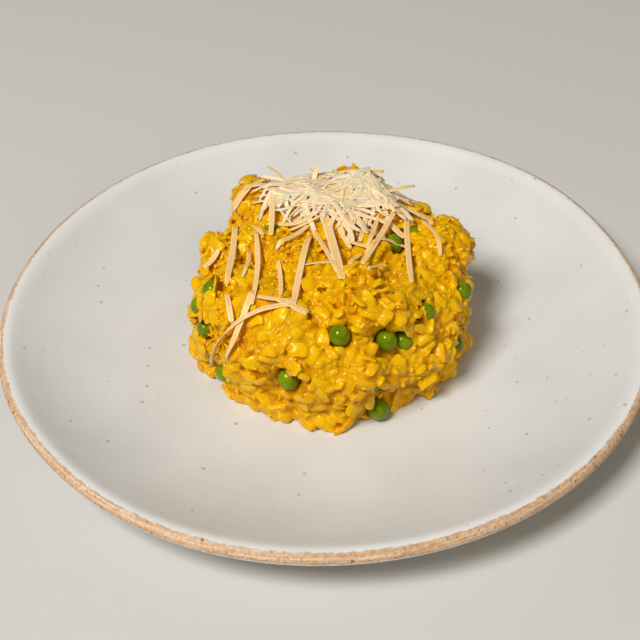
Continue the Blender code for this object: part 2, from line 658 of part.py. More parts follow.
def pile_routes(generator):
    """The pile's own shreds, spread over it in every direction: start, end, bow and width."""
    for step in range(PILE_SHREDS):
        distance = PILE_SPREAD * sqrt((step + 0.5) / PILE_SHREDS)
        turn = step * pi * (3.0 - sqrt(5.0))
        middle = np.array((PILE_X + PILE_REACH[0] * distance * cos(turn),
                           PILE_Y + PILE_REACH[1] * distance * sin(turn)))
        heading, half = generator.uniform(0, pi), generator.uniform(*PILE_SHRED_LENGTH) / 2
        reach = np.array((cos(heading), sin(heading))) * half
        yield middle - reach, middle + reach, generator.normal(0, 1.5) * MM, SHRED_WIDTH


def laid_routes():
    """The shreds that lie apart, in metres."""
    for x1, y1, x2, y2, bow, width in LAID_SHREDS:
        yield np.array((x1, y1)) * MM, np.array((x2, y2)) * MM, bow * MM, width * MM


def make_cheese(collection, pieces, beneath):
    """The pile and its shreds joined where they touch; shreds that lie apart are their own pieces."""
    finish = material("grated cheese", (0.85, 0.7, 0.42), 0.45)
    field = heights_above(tree_of(beneath))
    pile = make_pile(field, finish, collection)
    field = np.maximum(field, heights_above(tree_of([pile])) - SHRED_LIFT - PILE_SINK)
    limit = field + STACK_LIMIT
    routes = list(laid_routes()) + list(pile_routes(np.random.default_rng(31)))
    for number, (start, end, bow, width) in enumerate(routes):
        knots = lay_over(field, start, end, bow, width)
        make_shred(f"laid_{number:02d}", knots, width, finish, pieces)
        cover(field, limit, knots - (0, 0, SHRED_SINK), width)
    boolean(pile, "UNION", pieces, "MANIFOLD")
    form = bmesh.new()
    form.from_mesh(pile.data)
    shells = len(shells_of(form))
    form.free()
    for rank in range(shells):
        name = "grated_cheese" if rank == 0 else f"shred_{rank:02d}"
        place(name, shell_mesh(pile.data, rank), finish, collection)
    bpy.data.objects.remove(pile)


def new_collection(name):
    """An empty collection in the scene."""
    made = bpy.data.collections.new(name)
    bpy.context.scene.collection.children.link(made)
    return made


def main():
    for item in list(bpy.data.objects):
        bpy.data.objects.remove(item, do_unlink=True)
    dish = new_collection("pea_risotto")
    cutters = new_collection("cutters")
    plate = make_plate(dish)
    peas = make_peas(dish, cutters)
    heap = make_heap(dish, cutters)
    make_cheese(dish, cutters, [plate, heap] + peas)


main()
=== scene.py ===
"""Pea risotto on a stoneware coupe plate, with a drift of grated hard cheese on top.

Metres, +Z up, the origin under the middle of the plate's foot. Bearings are degrees
counter-clockwise from +X, so 90 is the back and 270 the front.
"""
from math import pi, radians, tau

import bmesh
import bpy
import numpy as np
from mathutils import Matrix, Vector
from mathutils.bvhtree import BVHTree


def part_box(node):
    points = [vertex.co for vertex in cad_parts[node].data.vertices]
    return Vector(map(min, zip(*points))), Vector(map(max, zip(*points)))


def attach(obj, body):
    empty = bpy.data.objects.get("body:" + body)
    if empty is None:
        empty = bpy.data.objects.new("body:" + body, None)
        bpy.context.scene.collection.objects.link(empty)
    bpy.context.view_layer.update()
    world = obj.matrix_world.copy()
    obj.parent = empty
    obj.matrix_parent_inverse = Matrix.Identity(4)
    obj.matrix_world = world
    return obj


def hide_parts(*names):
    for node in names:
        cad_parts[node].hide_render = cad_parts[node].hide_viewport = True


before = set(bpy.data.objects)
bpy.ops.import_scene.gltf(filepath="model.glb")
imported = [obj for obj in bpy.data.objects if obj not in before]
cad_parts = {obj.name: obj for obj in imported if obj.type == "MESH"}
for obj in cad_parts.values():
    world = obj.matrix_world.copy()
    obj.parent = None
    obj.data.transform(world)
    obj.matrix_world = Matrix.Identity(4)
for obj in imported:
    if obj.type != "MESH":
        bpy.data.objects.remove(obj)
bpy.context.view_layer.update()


# ---- camera, floor and light ----
# The photograph looks down on the plate from the front with a long lens, held slightly
# askew. A large soft lamp stands at the front left, weaker ones at the front right and
# behind fill the shadows, and the floor is plain and pale.

MM = 0.001
AIM = Vector((-2.0, -3.7, 19.3)) * MM
VIEW_DISTANCE = 556.5 * MM
VIEW_RISE = radians(40.6)
VIEW_ROLL = radians(-1.52)
FOCAL_LENGTH, SENSOR_WIDTH = 50, 24  # in the lens's own millimetres
NEAREST = 0.01  # the camera shows nothing closer
FLOOR_REACH = 3.0
FLOOR_COLOUR, FLOOR_ROUGHNESS = (0.62, 0.60, 0.57, 1), 0.8
LAMPS = (  # bearing and rise in degrees, distance, width, watts, colour
    ("key", 227, 55.5, 2.4, 0.80, 55.0, (1.0, 0.992, 0.982)),
    ("fill", 304, 38, 2.0, 1.60, 6.3, (1.0, 0.89, 0.68)),
    ("back", 50, 50, 2.4, 1.00, 1.5, (0.98, 0.99, 1.0)),
)
ROOM_COLOUR, ROOM_STRENGTH = (1.0, 0.94, 0.84, 1), 0.10


def put(name, data):
    """A new object that carries the given data, linked into the scene."""
    made = bpy.data.objects.new(name, data)
    bpy.context.scene.collection.objects.link(made)
    return made


def soft_lamp(name, bearing, rise, distance, size, power, colour):
    """A square lamp that faces the food, at distance * (cos bearing cos rise, sin bearing cos rise,
    sin rise)."""
    data = bpy.data.lights.new(name, "AREA")
    data.size, data.energy, data.color = size, power, colour
    toward = Vector((np.cos(radians(bearing)) * np.cos(radians(rise)),
                     np.sin(radians(bearing)) * np.cos(radians(rise)), np.sin(radians(rise))))
    put(name, data).matrix_world = (Matrix.Translation(toward * distance)
                                    @ (-toward).to_track_quat("-Z", "Y").to_matrix().to_4x4())


lens = bpy.data.cameras.new("lens")
lens.lens, lens.sensor_width = FOCAL_LENGTH, SENSOR_WIDTH
lens.clip_start = NEAREST
camera = put("camera", lens)
backward = Vector((0, -np.cos(VIEW_RISE), np.sin(VIEW_RISE)))
turned = (-backward).to_track_quat("-Z", "Y").to_matrix().to_4x4() @ Matrix.Rotation(VIEW_ROLL, 4, "Z")
camera.matrix_world = Matrix.Translation(AIM + backward * VIEW_DISTANCE) @ turned
bpy.context.scene.camera = camera
bpy.context.scene.view_settings.view_transform = "Standard"

form = bmesh.new()
bmesh.ops.create_grid(form, x_segments=1, y_segments=1, size=FLOOR_REACH)
floor_mesh = bpy.data.meshes.new("floor")
form.to_mesh(floor_mesh)
form.free()
floor = put("floor", floor_mesh)
floor_paint = bpy.data.materials.new("floor paint")
floor_paint.use_nodes = True
paint = floor_paint.node_tree.nodes["Principled BSDF"].inputs
paint["Base Color"].default_value = FLOOR_COLOUR
paint["Roughness"].default_value = FLOOR_ROUGHNESS
floor_mesh.materials.append(floor_paint)

for lamp in LAMPS:
    soft_lamp(*lamp)
room = bpy.data.worlds.new("room")
room.use_nodes = True
glow = room.node_tree.nodes["Background"].inputs
glow["Color"].default_value = ROOM_COLOUR
glow["Strength"].default_value = ROOM_STRENGTH
bpy.context.scene.world = room


# ---- plate ----
# A thrown stoneware coupe plate: a level floor that sweeps up into a low wall, and a rolled
# edge. Off-white glaze covers it except on the outer part of the edge and on the foot ring,
# where the sandy clay is bare, and iron in the clay shows through as brown specks.

PLATE_RADIUS = 135.0 * MM
LIP_RADIUS = 2.9 * MM
LIP_CENTRE_Z = 21.8 * MM
LIP_FROM, LIP_TO = 90, -85  # the arc of the edge, degrees up from straight out
BARE_FROM, BARE_TO = 80, -6  # the part of that arc where the clay is bare
FLOOR_Z = 6.3 * MM
FLOOR_RADIUS = 68.0 * MM
INNERMOST = 3.0 * MM
WALL_CURVE = 2.1
WALL_THICKNESS = 4.2 * MM
SHOULDER, SHOULDER_DROP = 3.8 * MM, 1.15 * MM  # soft roll of glaze inside the edge
UNDER_RADIUS = 124.0 * MM
FOOT_OUTER = 81.0 * MM
FOOT_PROFILE = (  # foot ring and the recess inside it: radius, height (mm)
    (80.7, 1.4), (80.5, 0.5), (80.0, 0.0), (76.0, 0.0), (75.5, 0.5), (75.2, 1.6),
    (74.4, 2.3), (73.0, 2.4), (40.0, 2.4), (3.0, 2.4),
)
FOOT_RECESS = 2.4 * MM
FOOT_BARE = 2.0 * MM  # the foot is unglazed below this height
TOP_ROWS, SHOULDER_ROWS, LIP_ROWS, UNDER_ROWS = 62, 9, 26, 24
PLATE_STEPS = 288
RING_HEIGHT, RING_PITCH, RING_REACH = 0.05 * MM, 7.0 * MM, 90.0 * MM  # faint rings left by throwing
EDGE_SWELLS = (  # hand-made unevenness: bearing, millimetres out or in
    (15, -0.7), (42, 1.1), (80, -0.9), (123, 0.6),
    (192, 0.3), (219, -0.5), (255, 0.3), (348, -0.4),
)
SWELL_WIDTH = radians(15)
GLAZED, FOOT_CLAY = -9.0, 1.5  # millimetres onto bare clay: deep in the glaze, on the foot
GLAZE_TONES = (0.67, 0.665, 0.64, 1), (0.73, 0.725, 0.70, 1)
# partly pooled glaze, partly a painted highlight along the lip
GLAZE_POOLED_AND_LIT = (0.86, 0.85, 0.82, 1)
GLAZE_SPECKS = (  # cells per metre, size, share of cells, strength, colour
    (80.0, 0.068, 0.24, 0.50, (0.25, 0.16, 0.09, 1)),
    (190.0, 0.090, 0.06, 0.40, (0.33, 0.23, 0.14, 1)),
)
SAND_TONES = (0.50, 0.30, 0.155, 1), (0.71, 0.485, 0.31, 1)
STREAK_PALE, STREAK_DARK = (0.86, 0.68, 0.51, 1), (0.46, 0.26, 0.12, 1)
STREAK_DRIFT = 0.04  # how fast streaks change along the edge, against across it
SEAM_BROWN = (0.45, 0.24, 0.10, 1)
CLAY_SPECKS = ((650.0, 0.34, 0.45, 0.55), (330.0, 0.26, 0.30, 0.85))  # the same, but for the colour
CLAY_IRON = (0.17, 0.07, 0.025, 1)


def rounded(name, points, faces, sharp=180):
    """A smooth-shaded mesh from an array of points and a list of arrays of faces."""
    mesh = bpy.data.meshes.new(name)
    corners = np.concatenate([part.ravel() for part in faces])
    sizes = np.concatenate([np.full(len(part), part.shape[1]) for part in faces])
    mesh.vertices.add(len(points))
    mesh.loops.add(len(corners))
    mesh.polygons.add(len(sizes))
    mesh.vertices.foreach_set("co", np.asarray(points, dtype=np.float32).ravel())
    mesh.loops.foreach_set("vertex_index", corners.astype(np.int32))
    mesh.polygons.foreach_set("loop_start", (np.cumsum(sizes) - sizes).astype(np.int32))
    mesh.update(calc_edges=True)
    mesh.validate()
    mesh.shade_smooth()
    if sharp < 180:
        mesh.set_sharp_from_angle(angle=radians(sharp))
    return mesh


def note(mesh, name, values):
    """Keep one number for each point of a mesh, for its material to read."""
    kept = mesh.attributes.new(name, "FLOAT", "POINT")
    kept.data.foreach_set("value", np.asarray(values, dtype=np.float32).ravel())


def served(name, mesh, finish, slot, *nodes):
    """Put a finished piece on the table in place of the solids that it stands for."""
    mesh.name = name
    mesh.materials.clear()
    mesh.materials.append(finish)
    piece = put(name, mesh)
    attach(piece, "root")
    if nodes:
        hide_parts(*nodes)


def rings(rows, columns):
    """Faces of a closed piece: its points run row by row round an axis, and one more point closes
    each end."""
    row, column = np.meshgrid(np.arange(rows - 1), np.arange(columns), indexing="ij")
    beside = (column + 1) % columns
    quads = np.stack((row * columns + column, row * columns + beside,
                      (row + 1) * columns + beside, (row + 1) * columns + column), axis=-1)
    around = np.arange(columns)
    ahead = (around + 1) % columns
    first, last = rows * columns, rows * columns + 1
    start = np.stack((np.full(columns, first), ahead, around), axis=1)
    end = np.stack((np.full(columns, last), around + first - columns, ahead + first - columns), axis=1)
    return [quads.reshape(-1, 4), start, end]


def plate_section():
    """The plate's half section as radii and heights, and how many millimetres each point lies on
    bare clay.

    Top face: z = floor + rise * share ** curve, with a faint sine for the throwing rings, and a
    shoulder that drops with the square of the way inward. The edge is an arc of a circle, and the
    underside is the top face moved down by the wall's thickness.
    """
    lip_x, lip_top = PLATE_RADIUS - LIP_RADIUS, LIP_CENTRE_Z + LIP_RADIUS
    wall_end, wall_top = lip_x - SHOULDER, lip_top - SHOULDER_DROP

    def wall(radius):
        share = np.clip((radius - FLOOR_RADIUS) / (wall_end - FLOOR_RADIUS), 0, None)
        return FLOOR_Z + (wall_top - FLOOR_Z) * share ** WALL_CURVE

    top = np.linspace(INNERMOST, wall_end, TOP_ROWS)
    inward = np.linspace(0.9, 0.1, SHOULDER_ROWS)
    turn = np.linspace(LIP_FROM, LIP_TO, LIP_ROWS)
    under = np.linspace(UNDER_RADIUS, FOOT_OUTER, UNDER_ROWS)
    foot = np.array(FOOT_PROFILE) * MM
    throwing = RING_HEIGHT * np.sin(top / RING_PITCH * tau) * np.clip(top / RING_REACH - 0.6, 0, 0.5)
    radii = np.concatenate((top, lip_x - SHOULDER * inward,
                            lip_x + LIP_RADIUS * np.cos(np.radians(turn)), under, foot[:, 0]))
    heights = np.concatenate((wall(top) + throwing, lip_top - SHOULDER_DROP * inward ** 2,
                              LIP_CENTRE_Z + LIP_RADIUS * np.sin(np.radians(turn)),
                              wall(under) - WALL_THICKNESS, foot[:, 1]))
    arc = np.radians(np.minimum(BARE_FROM - turn, turn - BARE_TO)) * LIP_RADIUS
    clay = np.concatenate((np.maximum((top - wall_end - SHOULDER) / MM, GLAZED),
                           arc[0] / MM - SHOULDER / MM * inward, arc / MM,
                           np.full(len(under), GLAZED), np.where(foot[:, 1] < FOOT_BARE, FOOT_CLAY, GLAZED)))
    return radii, heights, clay


def thrown(radii, heights):
    """The half section turned round the plate's middle. A radius is stretched by 1 + swell *
    (radius / plate radius) ** 3, where swell is a sum of bell curves exp(-(angle / width) ** 2)."""
    bearing = np.arange(PLATE_STEPS) / PLATE_STEPS * tau
    swell = sum(push * MM * np.exp(-(((bearing - radians(at) + pi) % tau - pi) / SWELL_WIDTH) ** 2)
                for at, push in EDGE_SWELLS) / PLATE_RADIUS
    reach = radii[:, None] * (1 + swell[None, :] * (radii[:, None] / PLATE_RADIUS) ** 3)
    points = np.stack((reach * np.cos(bearing), reach * np.sin(bearing),
                       np.broadcast_to(heights[:, None], reach.shape)), axis=-1).reshape(-1, 3)
    points[:, :2] -= (points[:, :2].min(axis=0) + points[:, :2].max(axis=0)) / 2
    return np.vstack((points, (0, 0, FLOOR_Z), (0, 0, FOOT_RECESS)))


class Finish:
    """A material being mixed: each step adds one node and returns it, wired to what feeds it."""

    def __init__(self, name, tree=None):
        if tree is None:
            self.material = bpy.data.materials.new(name)
            self.material.use_nodes = True
            tree = self.material.node_tree
        self.tree = tree

    def feed(self, socket, value):
        """Wire a socket to another node's output, or set it to a plain value."""
        if isinstance(value, bpy.types.NodeSocket):
            self.tree.links.new(value, socket)
        else:
            socket.default_value = value

    def add(self, kind, settings=(), **inputs):
        """One shader node. Inputs go by name, or by number as i0, i1 and so on."""
        made = self.tree.nodes.new(kind)
        for name, value in dict(settings).items():
            setattr(made, name, value)
        for name, value in inputs.items():
            numbered = name[0] == "i" and name[1:].isdigit()
            self.feed(made.inputs[int(name[1:]) if numbered else name.replace("_", " ")], value)
        return made

    def number(self, operation, first, second=0.0, third=0.0):
        """Arithmetic on numbers."""
        return self.add("ShaderNodeMath", {"operation": operation}, i0=first, i1=second, i2=third).outputs[0]

    def times(self, first, second):
        """One number times another."""
        return self.number("MULTIPLY", first, second)

    def rest(self, share):
        """What a share leaves of one."""
        return self.number("SUBTRACT", 1.0, share)

    def step(self, value, low, high):
        """A number that goes smoothly from 0 to 1 while the value goes from low to high."""
        return self.add("ShaderNodeMapRange", {"interpolation_type": "SMOOTHSTEP"},
                        Value=value, From_Min=low, From_Max=high).outputs[0]

    def blend(self, share, first, second):
        """One colour turning into another."""
        return self.add("ShaderNodeMix", {"data_type": "RGBA"}, i0=share, i6=first, i7=second).outputs[2]

    def noise(self, where, scale, detail=2.0, rough=0.5):
        """Soft random patches, 0 to 1, so many to the metre."""
        return self.add("ShaderNodeTexNoise", Vector=where, Scale=scale, Detail=detail,
                        Roughness=rough).outputs["Fac"]

    def place(self):
        """Where on the object a point is."""
        return self.add("ShaderNodeTexCoord").outputs["Object"]

    def noted(self, name):
        """The number kept on the mesh under this name."""
        return self.add("ShaderNodeAttribute", {"attribute_name": name}).outputs["Fac"]

    def relief(self, height, strength, distance):
        """A surface direction that follows a height."""
        return self.add("ShaderNodeBump", Strength=strength, Distance=distance, Height=height).outputs[0]

    def surface(self, **inputs):
        """Wire up or set the surface shader's own sockets."""
        for name, value in inputs.items():
            self.feed(self.tree.nodes["Principled BSDF"].inputs[name.replace("_", " ")], value)
        return self.material


def speck_group(name, dimensions):
    """A node group of round dots. A random pattern of cells holds one dot or none in each: it fades
    out from 0.45 of its size to all of it, and its size is the given one times 0.5 to 1.3."""
    tree = bpy.data.node_groups.new(name, "ShaderNodeTree")
    tree.interface.new_socket("Place", in_out="INPUT", socket_type="NodeSocketVector")
    for label in ("Scale", "Size", "Share"):
        tree.interface.new_socket(label, in_out="INPUT", socket_type="NodeSocketFloat")
    tree.interface.new_socket("Mask", in_out="OUTPUT", socket_type="NodeSocketFloat")
    start, end = tree.nodes.new("NodeGroupInput"), tree.nodes.new("NodeGroupOutput")
    mix = Finish(name, tree)
    cells = mix.add("ShaderNodeTexVoronoi", {"voronoi_dimensions": dimensions},
                    Vector=start.outputs["Place"], Scale=start.outputs["Scale"])
    lot = mix.add("ShaderNodeSeparateColor", Color=cells.outputs["Color"])
    size = mix.times(start.outputs["Size"], mix.number("MULTIPLY_ADD", lot.outputs[1], 0.8, 0.5))
    dot = mix.rest(mix.step(mix.number("DIVIDE", cells.outputs["Distance"], size), 0.45, 1.0))
    here = mix.number("LESS_THAN", lot.outputs[0], start.outputs["Share"])
    mix.feed(end.inputs["Mask"], mix.times(dot, here))
    return tree


def specks(mix, tree, where, scale, size, share):
    """Iron specks placed in a material."""
    return mix.add("ShaderNodeGroup", {"node_tree": tree}, Place=where, Scale=scale,
                   Size=size, Share=share).outputs["Mask"]


radii, heights, clay = plate_section()
plate_faces = [part[:, ::-1] for part in rings(len(radii), PLATE_STEPS)]
plate_mesh = rounded("plate", thrown(radii, heights), plate_faces)
note(plate_mesh, "clay", np.append(np.repeat(clay, PLATE_STEPS), (GLAZED, GLAZED)))
glaze_specks = speck_group("iron specks under glaze", "2D")
clay_specks = speck_group("iron specks in clay", "3D")

# The edge of the glaze wanders by half a millimetre. The glaze is thin on the floor, and a band inside
# the edge is painted whiter: partly glaze pooled thick there, partly a painted highlight along the lip.
mix = Finish("glazed stoneware")
where = mix.place()
ragged = mix.number("MULTIPLY_ADD", mix.noise(where, 300.0, 4.0, 0.7), 1.1, -0.55)
edge = mix.number("ADD", mix.noted("clay"), ragged)
bare = mix.step(edge, -0.30, 0.25)
glaze = mix.blend(mix.step(mix.noise(where, 22.0, 3.0), 0.3, 0.7), *GLAZE_TONES)
# painted highlight along the lip, mixed with the glaze pooled there
glaze = mix.blend(mix.times(mix.step(edge, -8.0, -0.8), 0.45), glaze, GLAZE_POOLED_AND_LIT)
for scale, size, share, strength, iron in GLAZE_SPECKS:
    dots = specks(mix, glaze_specks, where, scale, size, share)
    glaze = mix.blend(mix.times(dots, strength), glaze, iron)

# Streaks left by the sponge run round the bare edge: they are noise over radius and height that
# drifts slowly with x and y.
sand = mix.blend(mix.step(mix.noise(where, 700.0, 4.0, 0.7), 0.35, 0.65), *SAND_TONES)
x, y, z = mix.add("ShaderNodeSeparateXYZ", Vector=where).outputs
radius = mix.number("SQRT", mix.number("MULTIPLY_ADD", x, x, mix.times(y, y)))
round_edge = mix.add("ShaderNodeCombineXYZ", X=mix.number("MULTIPLY_ADD", x, STREAK_DRIFT, radius),
                     Y=z, Z=mix.times(y, STREAK_DRIFT)).outputs[0]
streak = mix.noise(round_edge, 1300.0, 3.0, 0.6)
sand = mix.blend(mix.times(mix.step(streak, 0.50, 0.66), 0.65), sand, STREAK_PALE)
sand = mix.blend(mix.times(mix.step(streak, 0.46, 0.32), 0.45), sand, STREAK_DARK)

# A broken brown line marks the seam between glaze and clay, and dots of iron lie in the clay.
seam = mix.rest(mix.step(mix.number("ABSOLUTE", edge), 0.1, 0.9))
seam = mix.times(seam, mix.step(mix.noise(where, 420.0, 3.0, 0.6), 0.40, 0.65))
colour = mix.blend(mix.times(seam, 0.58), mix.blend(bare, glaze, sand), SEAM_BROWN)
for scale, size, share, strength in CLAY_SPECKS:
    dots = mix.times(specks(mix, clay_specks, where, scale, size, share), mix.step(edge, -0.5, 0.1))
    colour = mix.blend(mix.times(dots, strength), colour, CLAY_IRON)
rough_clay = mix.times(bare, mix.times(mix.noise(where, 1300.0), 0.35))
smooth_glaze = mix.times(mix.rest(bare), mix.times(mix.noise(where, 420.0), 0.12))
mix.surface(Base_Color=colour, Roughness=mix.number("MULTIPLY_ADD", bare, 0.5, 0.30), IOR=1.5,
            Normal=mix.relief(mix.number("ADD", rough_clay, smooth_glaze), 0.35, 0.4 * MM))
served("plate_stoneware", plate_mesh, mix.material, "glazed_stoneware", "plate")


# ---- rice ----
# Short fat rice grains, cooked until their edges turn to cream and stained yellow with
# saffron. They stick together in clods. Under them the solid heap is smoothed into a bed,
# each grain is laid half sunk on it, and a skin of sauce fills the creases between them.

REST_Z = FLOOR_Z + 0.05 * MM  # nothing in the heap goes lower than this
HEAP_X, HEAP_Y = 2.0 * MM, 3.0 * MM  # the middle of the heap
FOOT_PITCH = 5  # degrees between the points of the heap's foot
FOOT_LOOK = 12.0 * MM  # the foot's outline is that of the heap below this height
FOOT_RISE, FOOT_INSET = 5.0 * MM, 0.8 * MM
BED_STEP, BED_ROUNDS = 1.3 * MM, 9  # spacing of the bed's points, and how often it is smoothed
NOTCHES = ((-12, -49, 10, 4, 3.0), (8, -50, 10, 4, 3.0), (1, -46, 14, 4, 3.0))  # x, y, z, width, depth (mm)
SHOWING_Z, SHOWING_FACE = REST_Z + 0.6 * MM, -0.35  # rice lies above this, and not on overhangs
BARE_PEAS = (5, 6, 7, 8, 11, 13)  # peas that lie open, and peas that the rice all but covers
BURIED_PEAS = (1, 2, 9, 10, 12, 14, 15, 16, 17)
OPEN_WAY = 7.0 * MM  # how far in front of a bare pea the way is kept open
BURIED_BY = 2.2 * MM  # how far inside a buried pea's skin rice may reach
COVER_OPEN, COVER_BURIED, COVER_REACH = 1.0, 1.8, 8.0 * MM  # rice raised round a pea (mm), and how far
GRAIN_SIZE = (8.4 * MM, 3.9 * MM, 2.8 * MM)
FLAKE_SIZE, FLAKE_SHARE, FLAKE_LIFT = (9.4 * MM, 5.0 * MM, 1.8 * MM), 0.30, 1.0 * MM
BIT_SIZE = np.array((2.4, 1.8, 1.4)) * MM
GRAIN_SPACING, BIT_SPACING = 3.3 * MM, 2.7 * MM
GRAIN_ROWS, GRAIN_SIDES, BIT_ROWS, BIT_SIDES = 6, 8, 3, 6
BLUNT, SQUARISH = 0.62, 0.75  # powers that shape a grain's ends and its section
SHARP_FROM = 48  # degrees between two faces whose edge shows
PACKING, FLATNESS = 0.70, 1.4  # how close grains press, 1 just touching; width over depth
SETTLING_ROUNDS, LOOK_AGAIN = 40, 8  # in all, and from one look for neighbours to the next
NEIGHBOURS = 1.35  # how near they lie, in lengths of a grain
PUSH, TURN, PEA_PUSH = 0.22, 0.7, 0.5  # parts of an overlap that one round makes good
HEIGHT_SPRING, LEAN_SPRING = 0.18, 0.15  # part of the way back to its height and lean in one round
PEA_ROOM, BIT_PEA_ROOM = 0.9 * MM, 0.8 * MM  # a grain closer to a pea is left out
RIGHT_SIDE, LEFT_SIDE, SIDE_FADE = (308, 38), (125, 232), 20  # bearings, and how soon they fade in
FRONT_CLOD, CLOD_REACH = np.array((13.0, -34.0, 50.0)) * MM, 14.0 * MM
CREAMY_DEPTH, PATCH_PITCH = 0.9 * MM, 7.0 * MM  # grains lie deeper where rice has gone to cream
SAUCE_STEP = 0.86 * MM
SAUCE_SHARE, SUNK = 0.95, 0.9 * MM  # the sauce is cast from smaller grains and a sunken bed
SAUCE_FOOT = 2.5 * MM  # below this height the sauce draws in
# painted shade for the creases, the rice's own yellow for the sides, a painted highlight for the crowns
CREASE_SHADE, RICE_SIDE, CROWN_HIGHLIGHT = (0.55, 0.215, 0.0005, 1), (0.765, 0.372, 0.0005, 1), (0.85, 0.484, 0.001, 1)

randomly = np.random.default_rng(7)


def kept_by(items, label, each, kind):
    """What the parts of a mesh keep under a label, with so many numbers to a row."""
    values = np.empty(len(items) * each, dtype=kind)
    items.foreach_get(label, values)
    return values.reshape(-1, each)


def points_of(mesh):
    """All point positions of a mesh."""
    return kept_by(mesh.vertices, "co", 3, np.float32).astype(float)


def normals_of(mesh):
    """The outward direction at each point of a mesh."""
    return kept_by(mesh.vertex_normals, "vector", 3, np.float32).astype(float)


def edges_of(mesh):
    """The two points of each edge of a mesh."""
    return kept_by(mesh.edges, "vertices", 2, np.int32)


def moved(mesh, points):
    """The mesh with its points put elsewhere."""
    mesh.vertices.foreach_set("co", points.astype(np.float32).ravel())
    mesh.update()
    return mesh


def together(*meshes):
    """One mesh that holds all the given ones."""
    form = bmesh.new()
    for part in meshes:
        form.from_mesh(part)
    joined = bpy.data.meshes.new("joined")
    form.to_mesh(joined)
    form.free()
    return joined


def gathered(index, values, count):
    """The sum of the rows of values that share an index."""
    return np.stack([np.bincount(index, values[:, axis], count) for axis in range(3)], axis=1)


def relaxed(points, edges, rounds):
    """Each point moved half the way to the mean of its neighbours, so many times over."""
    first, second = edges.T
    count = np.bincount(edges.ravel(), minlength=len(points))[:, None]
    for _ in range(rounds):
        total = gathered(first, points[second], len(points)) + gathered(second, points[first], len(points))
        points = 0.5 * points + 0.5 * total / count
    return points


def stands_out(mesh, points, edges, rounds):
    """How many millimetres each point of a mesh stands out of its own broad shape, which is the mesh
    relaxed for so many rounds."""
    return ((points - relaxed(points, edges, rounds)) * normals_of(mesh)).sum(axis=1) / MM


def remade(mesh, step):
    """A closed mesh made again from even voxels, which fuses whatever overlaps in it."""
    carrier = put("carrier", mesh)
    change = carrier.modifiers.new("voxels", "REMESH")
    change.mode = "VOXEL"
    change.voxel_size = step
    made = bpy.data.meshes.new_from_object(carrier.evaluated_get(bpy.context.evaluated_depsgraph_get()))
    bpy.data.objects.remove(carrier)
    return made


def unit(vectors):
    """Vectors made one long."""
    return vectors / np.linalg.norm(vectors, axis=-1, keepdims=True)


def spread_out(points, spacing):
    """Indices of randomly chosen points no two of which are closer than the spacing."""
    left = randomly.permutation(len(points))
    taken = []
    while len(left):
        taken.append(left[0])
        left = left[((points[left] - points[left[0]]) ** 2).sum(axis=1) > spacing ** 2]
    return np.array(taken)


def footing(points):
    """A low disc under the heap. Its outline is the farthest that any low point of the heap reaches
    in each few degrees, less an inset."""
    low = points[points[:, 2] < REST_Z + FOOT_LOOK] - (HEAP_X, HEAP_Y, 0)
    sector = (np.degrees(np.arctan2(low[:, 1], low[:, 0])) % 360 / FOOT_PITCH).astype(int)
    reach = np.zeros(360 // FOOT_PITCH)
    np.maximum.at(reach, sector, np.hypot(low[:, 0], low[:, 1]) - FOOT_INSET)
    bearing = radians(FOOT_PITCH) * (np.arange(len(reach)) + 0.5)
    outline = np.stack((HEAP_X + reach * np.cos(bearing), HEAP_Y + reach * np.sin(bearing)), axis=1)
    levels = np.repeat((REST_Z, REST_Z + FOOT_RISE), len(outline))
    return rounded("foot", np.vstack((np.column_stack((np.tile(outline, (2, 1)), levels)),
                                      (HEAP_X, HEAP_Y, REST_Z), (HEAP_X, HEAP_Y, REST_Z + FOOT_RISE))),
                   rings(2, len(outline)))


# The bed: the solid heap on its footing, smoothed, with a few notches pressed into its front foot
# as bell curves exp(-(distance / width) ** 2).
form = bmesh.new()
form.from_mesh(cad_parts["risotto"].data)
bmesh.ops.remove_doubles(form, verts=form.verts, dist=0.01 * MM)
heap_mesh = bpy.data.meshes.new("heap")
form.to_mesh(heap_mesh)
form.free()
bed_mesh = remade(together(heap_mesh, footing(points_of(heap_mesh))), BED_STEP)
bed = relaxed(points_of(bed_mesh), edges_of(bed_mesh), BED_ROUNDS)
for *place, width, depth in NOTCHES:
    near = np.exp(-(((bed - np.array(place) * MM) ** 2).sum(axis=1) / (width * MM) ** 2))
    bed = bed - normals_of(bed_mesh) * (near * depth * MM)[:, None]
bed_normals = normals_of(moved(bed_mesh, bed))
form = bmesh.new()
form.from_mesh(bed_mesh)
bed_tree = BVHTree.FromBMesh(form)
form.free()
showing = np.flatnonzero((bed[:, 2] > SHOWING_Z) & (bed_normals[:, 2] > SHOWING_FACE))

pea_names = sorted(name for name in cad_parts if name.startswith("pea_"))
pea_boxes = [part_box(name) for name in pea_names]
pea_centres = np.array([(low + high) / 2 for low, high in pea_boxes])
pea_radii = np.array([(high - low) / 2 for low, high in pea_boxes])
pea_number = np.arange(1, len(pea_names) + 1)
bare_pea, buried_pea = np.isin(pea_number, BARE_PEAS), np.isin(pea_number, BURIED_PEAS)
pea_outward = np.array([bed_tree.find_nearest(centre)[1] for centre in pea_centres])
pea_outward = unit(pea_outward + np.array(backward))
pea_way = np.where(bare_pea, OPEN_WAY, 0.0)
pea_skin = pea_radii.mean(axis=1) - np.where(buried_pea, BURIED_BY, 0.0)
pea_cover = np.select((bare_pea, buried_pea), (0.0, COVER_BURIED), COVER_OPEN) * MM


def from_peas(points):
    """From each pea to each point: from the pea's middle, or for a bare pea from the nearest point of
    the way that is kept open in front of it."""
    away = points[..., None, :] - pea_centres
    ahead = np.clip((away * pea_outward).sum(axis=-1), 0, pea_way)
    return away - pea_outward * ahead[..., None]


def repeated(count, rows, columns):
    """The faces of so many like closed pieces, whose points follow one another."""
    each = rows * columns + 2
    return [(np.arange(count)[:, None, None] * each + part[None]).reshape(-1, part.shape[1])
            for part in rings(rows, columns)]


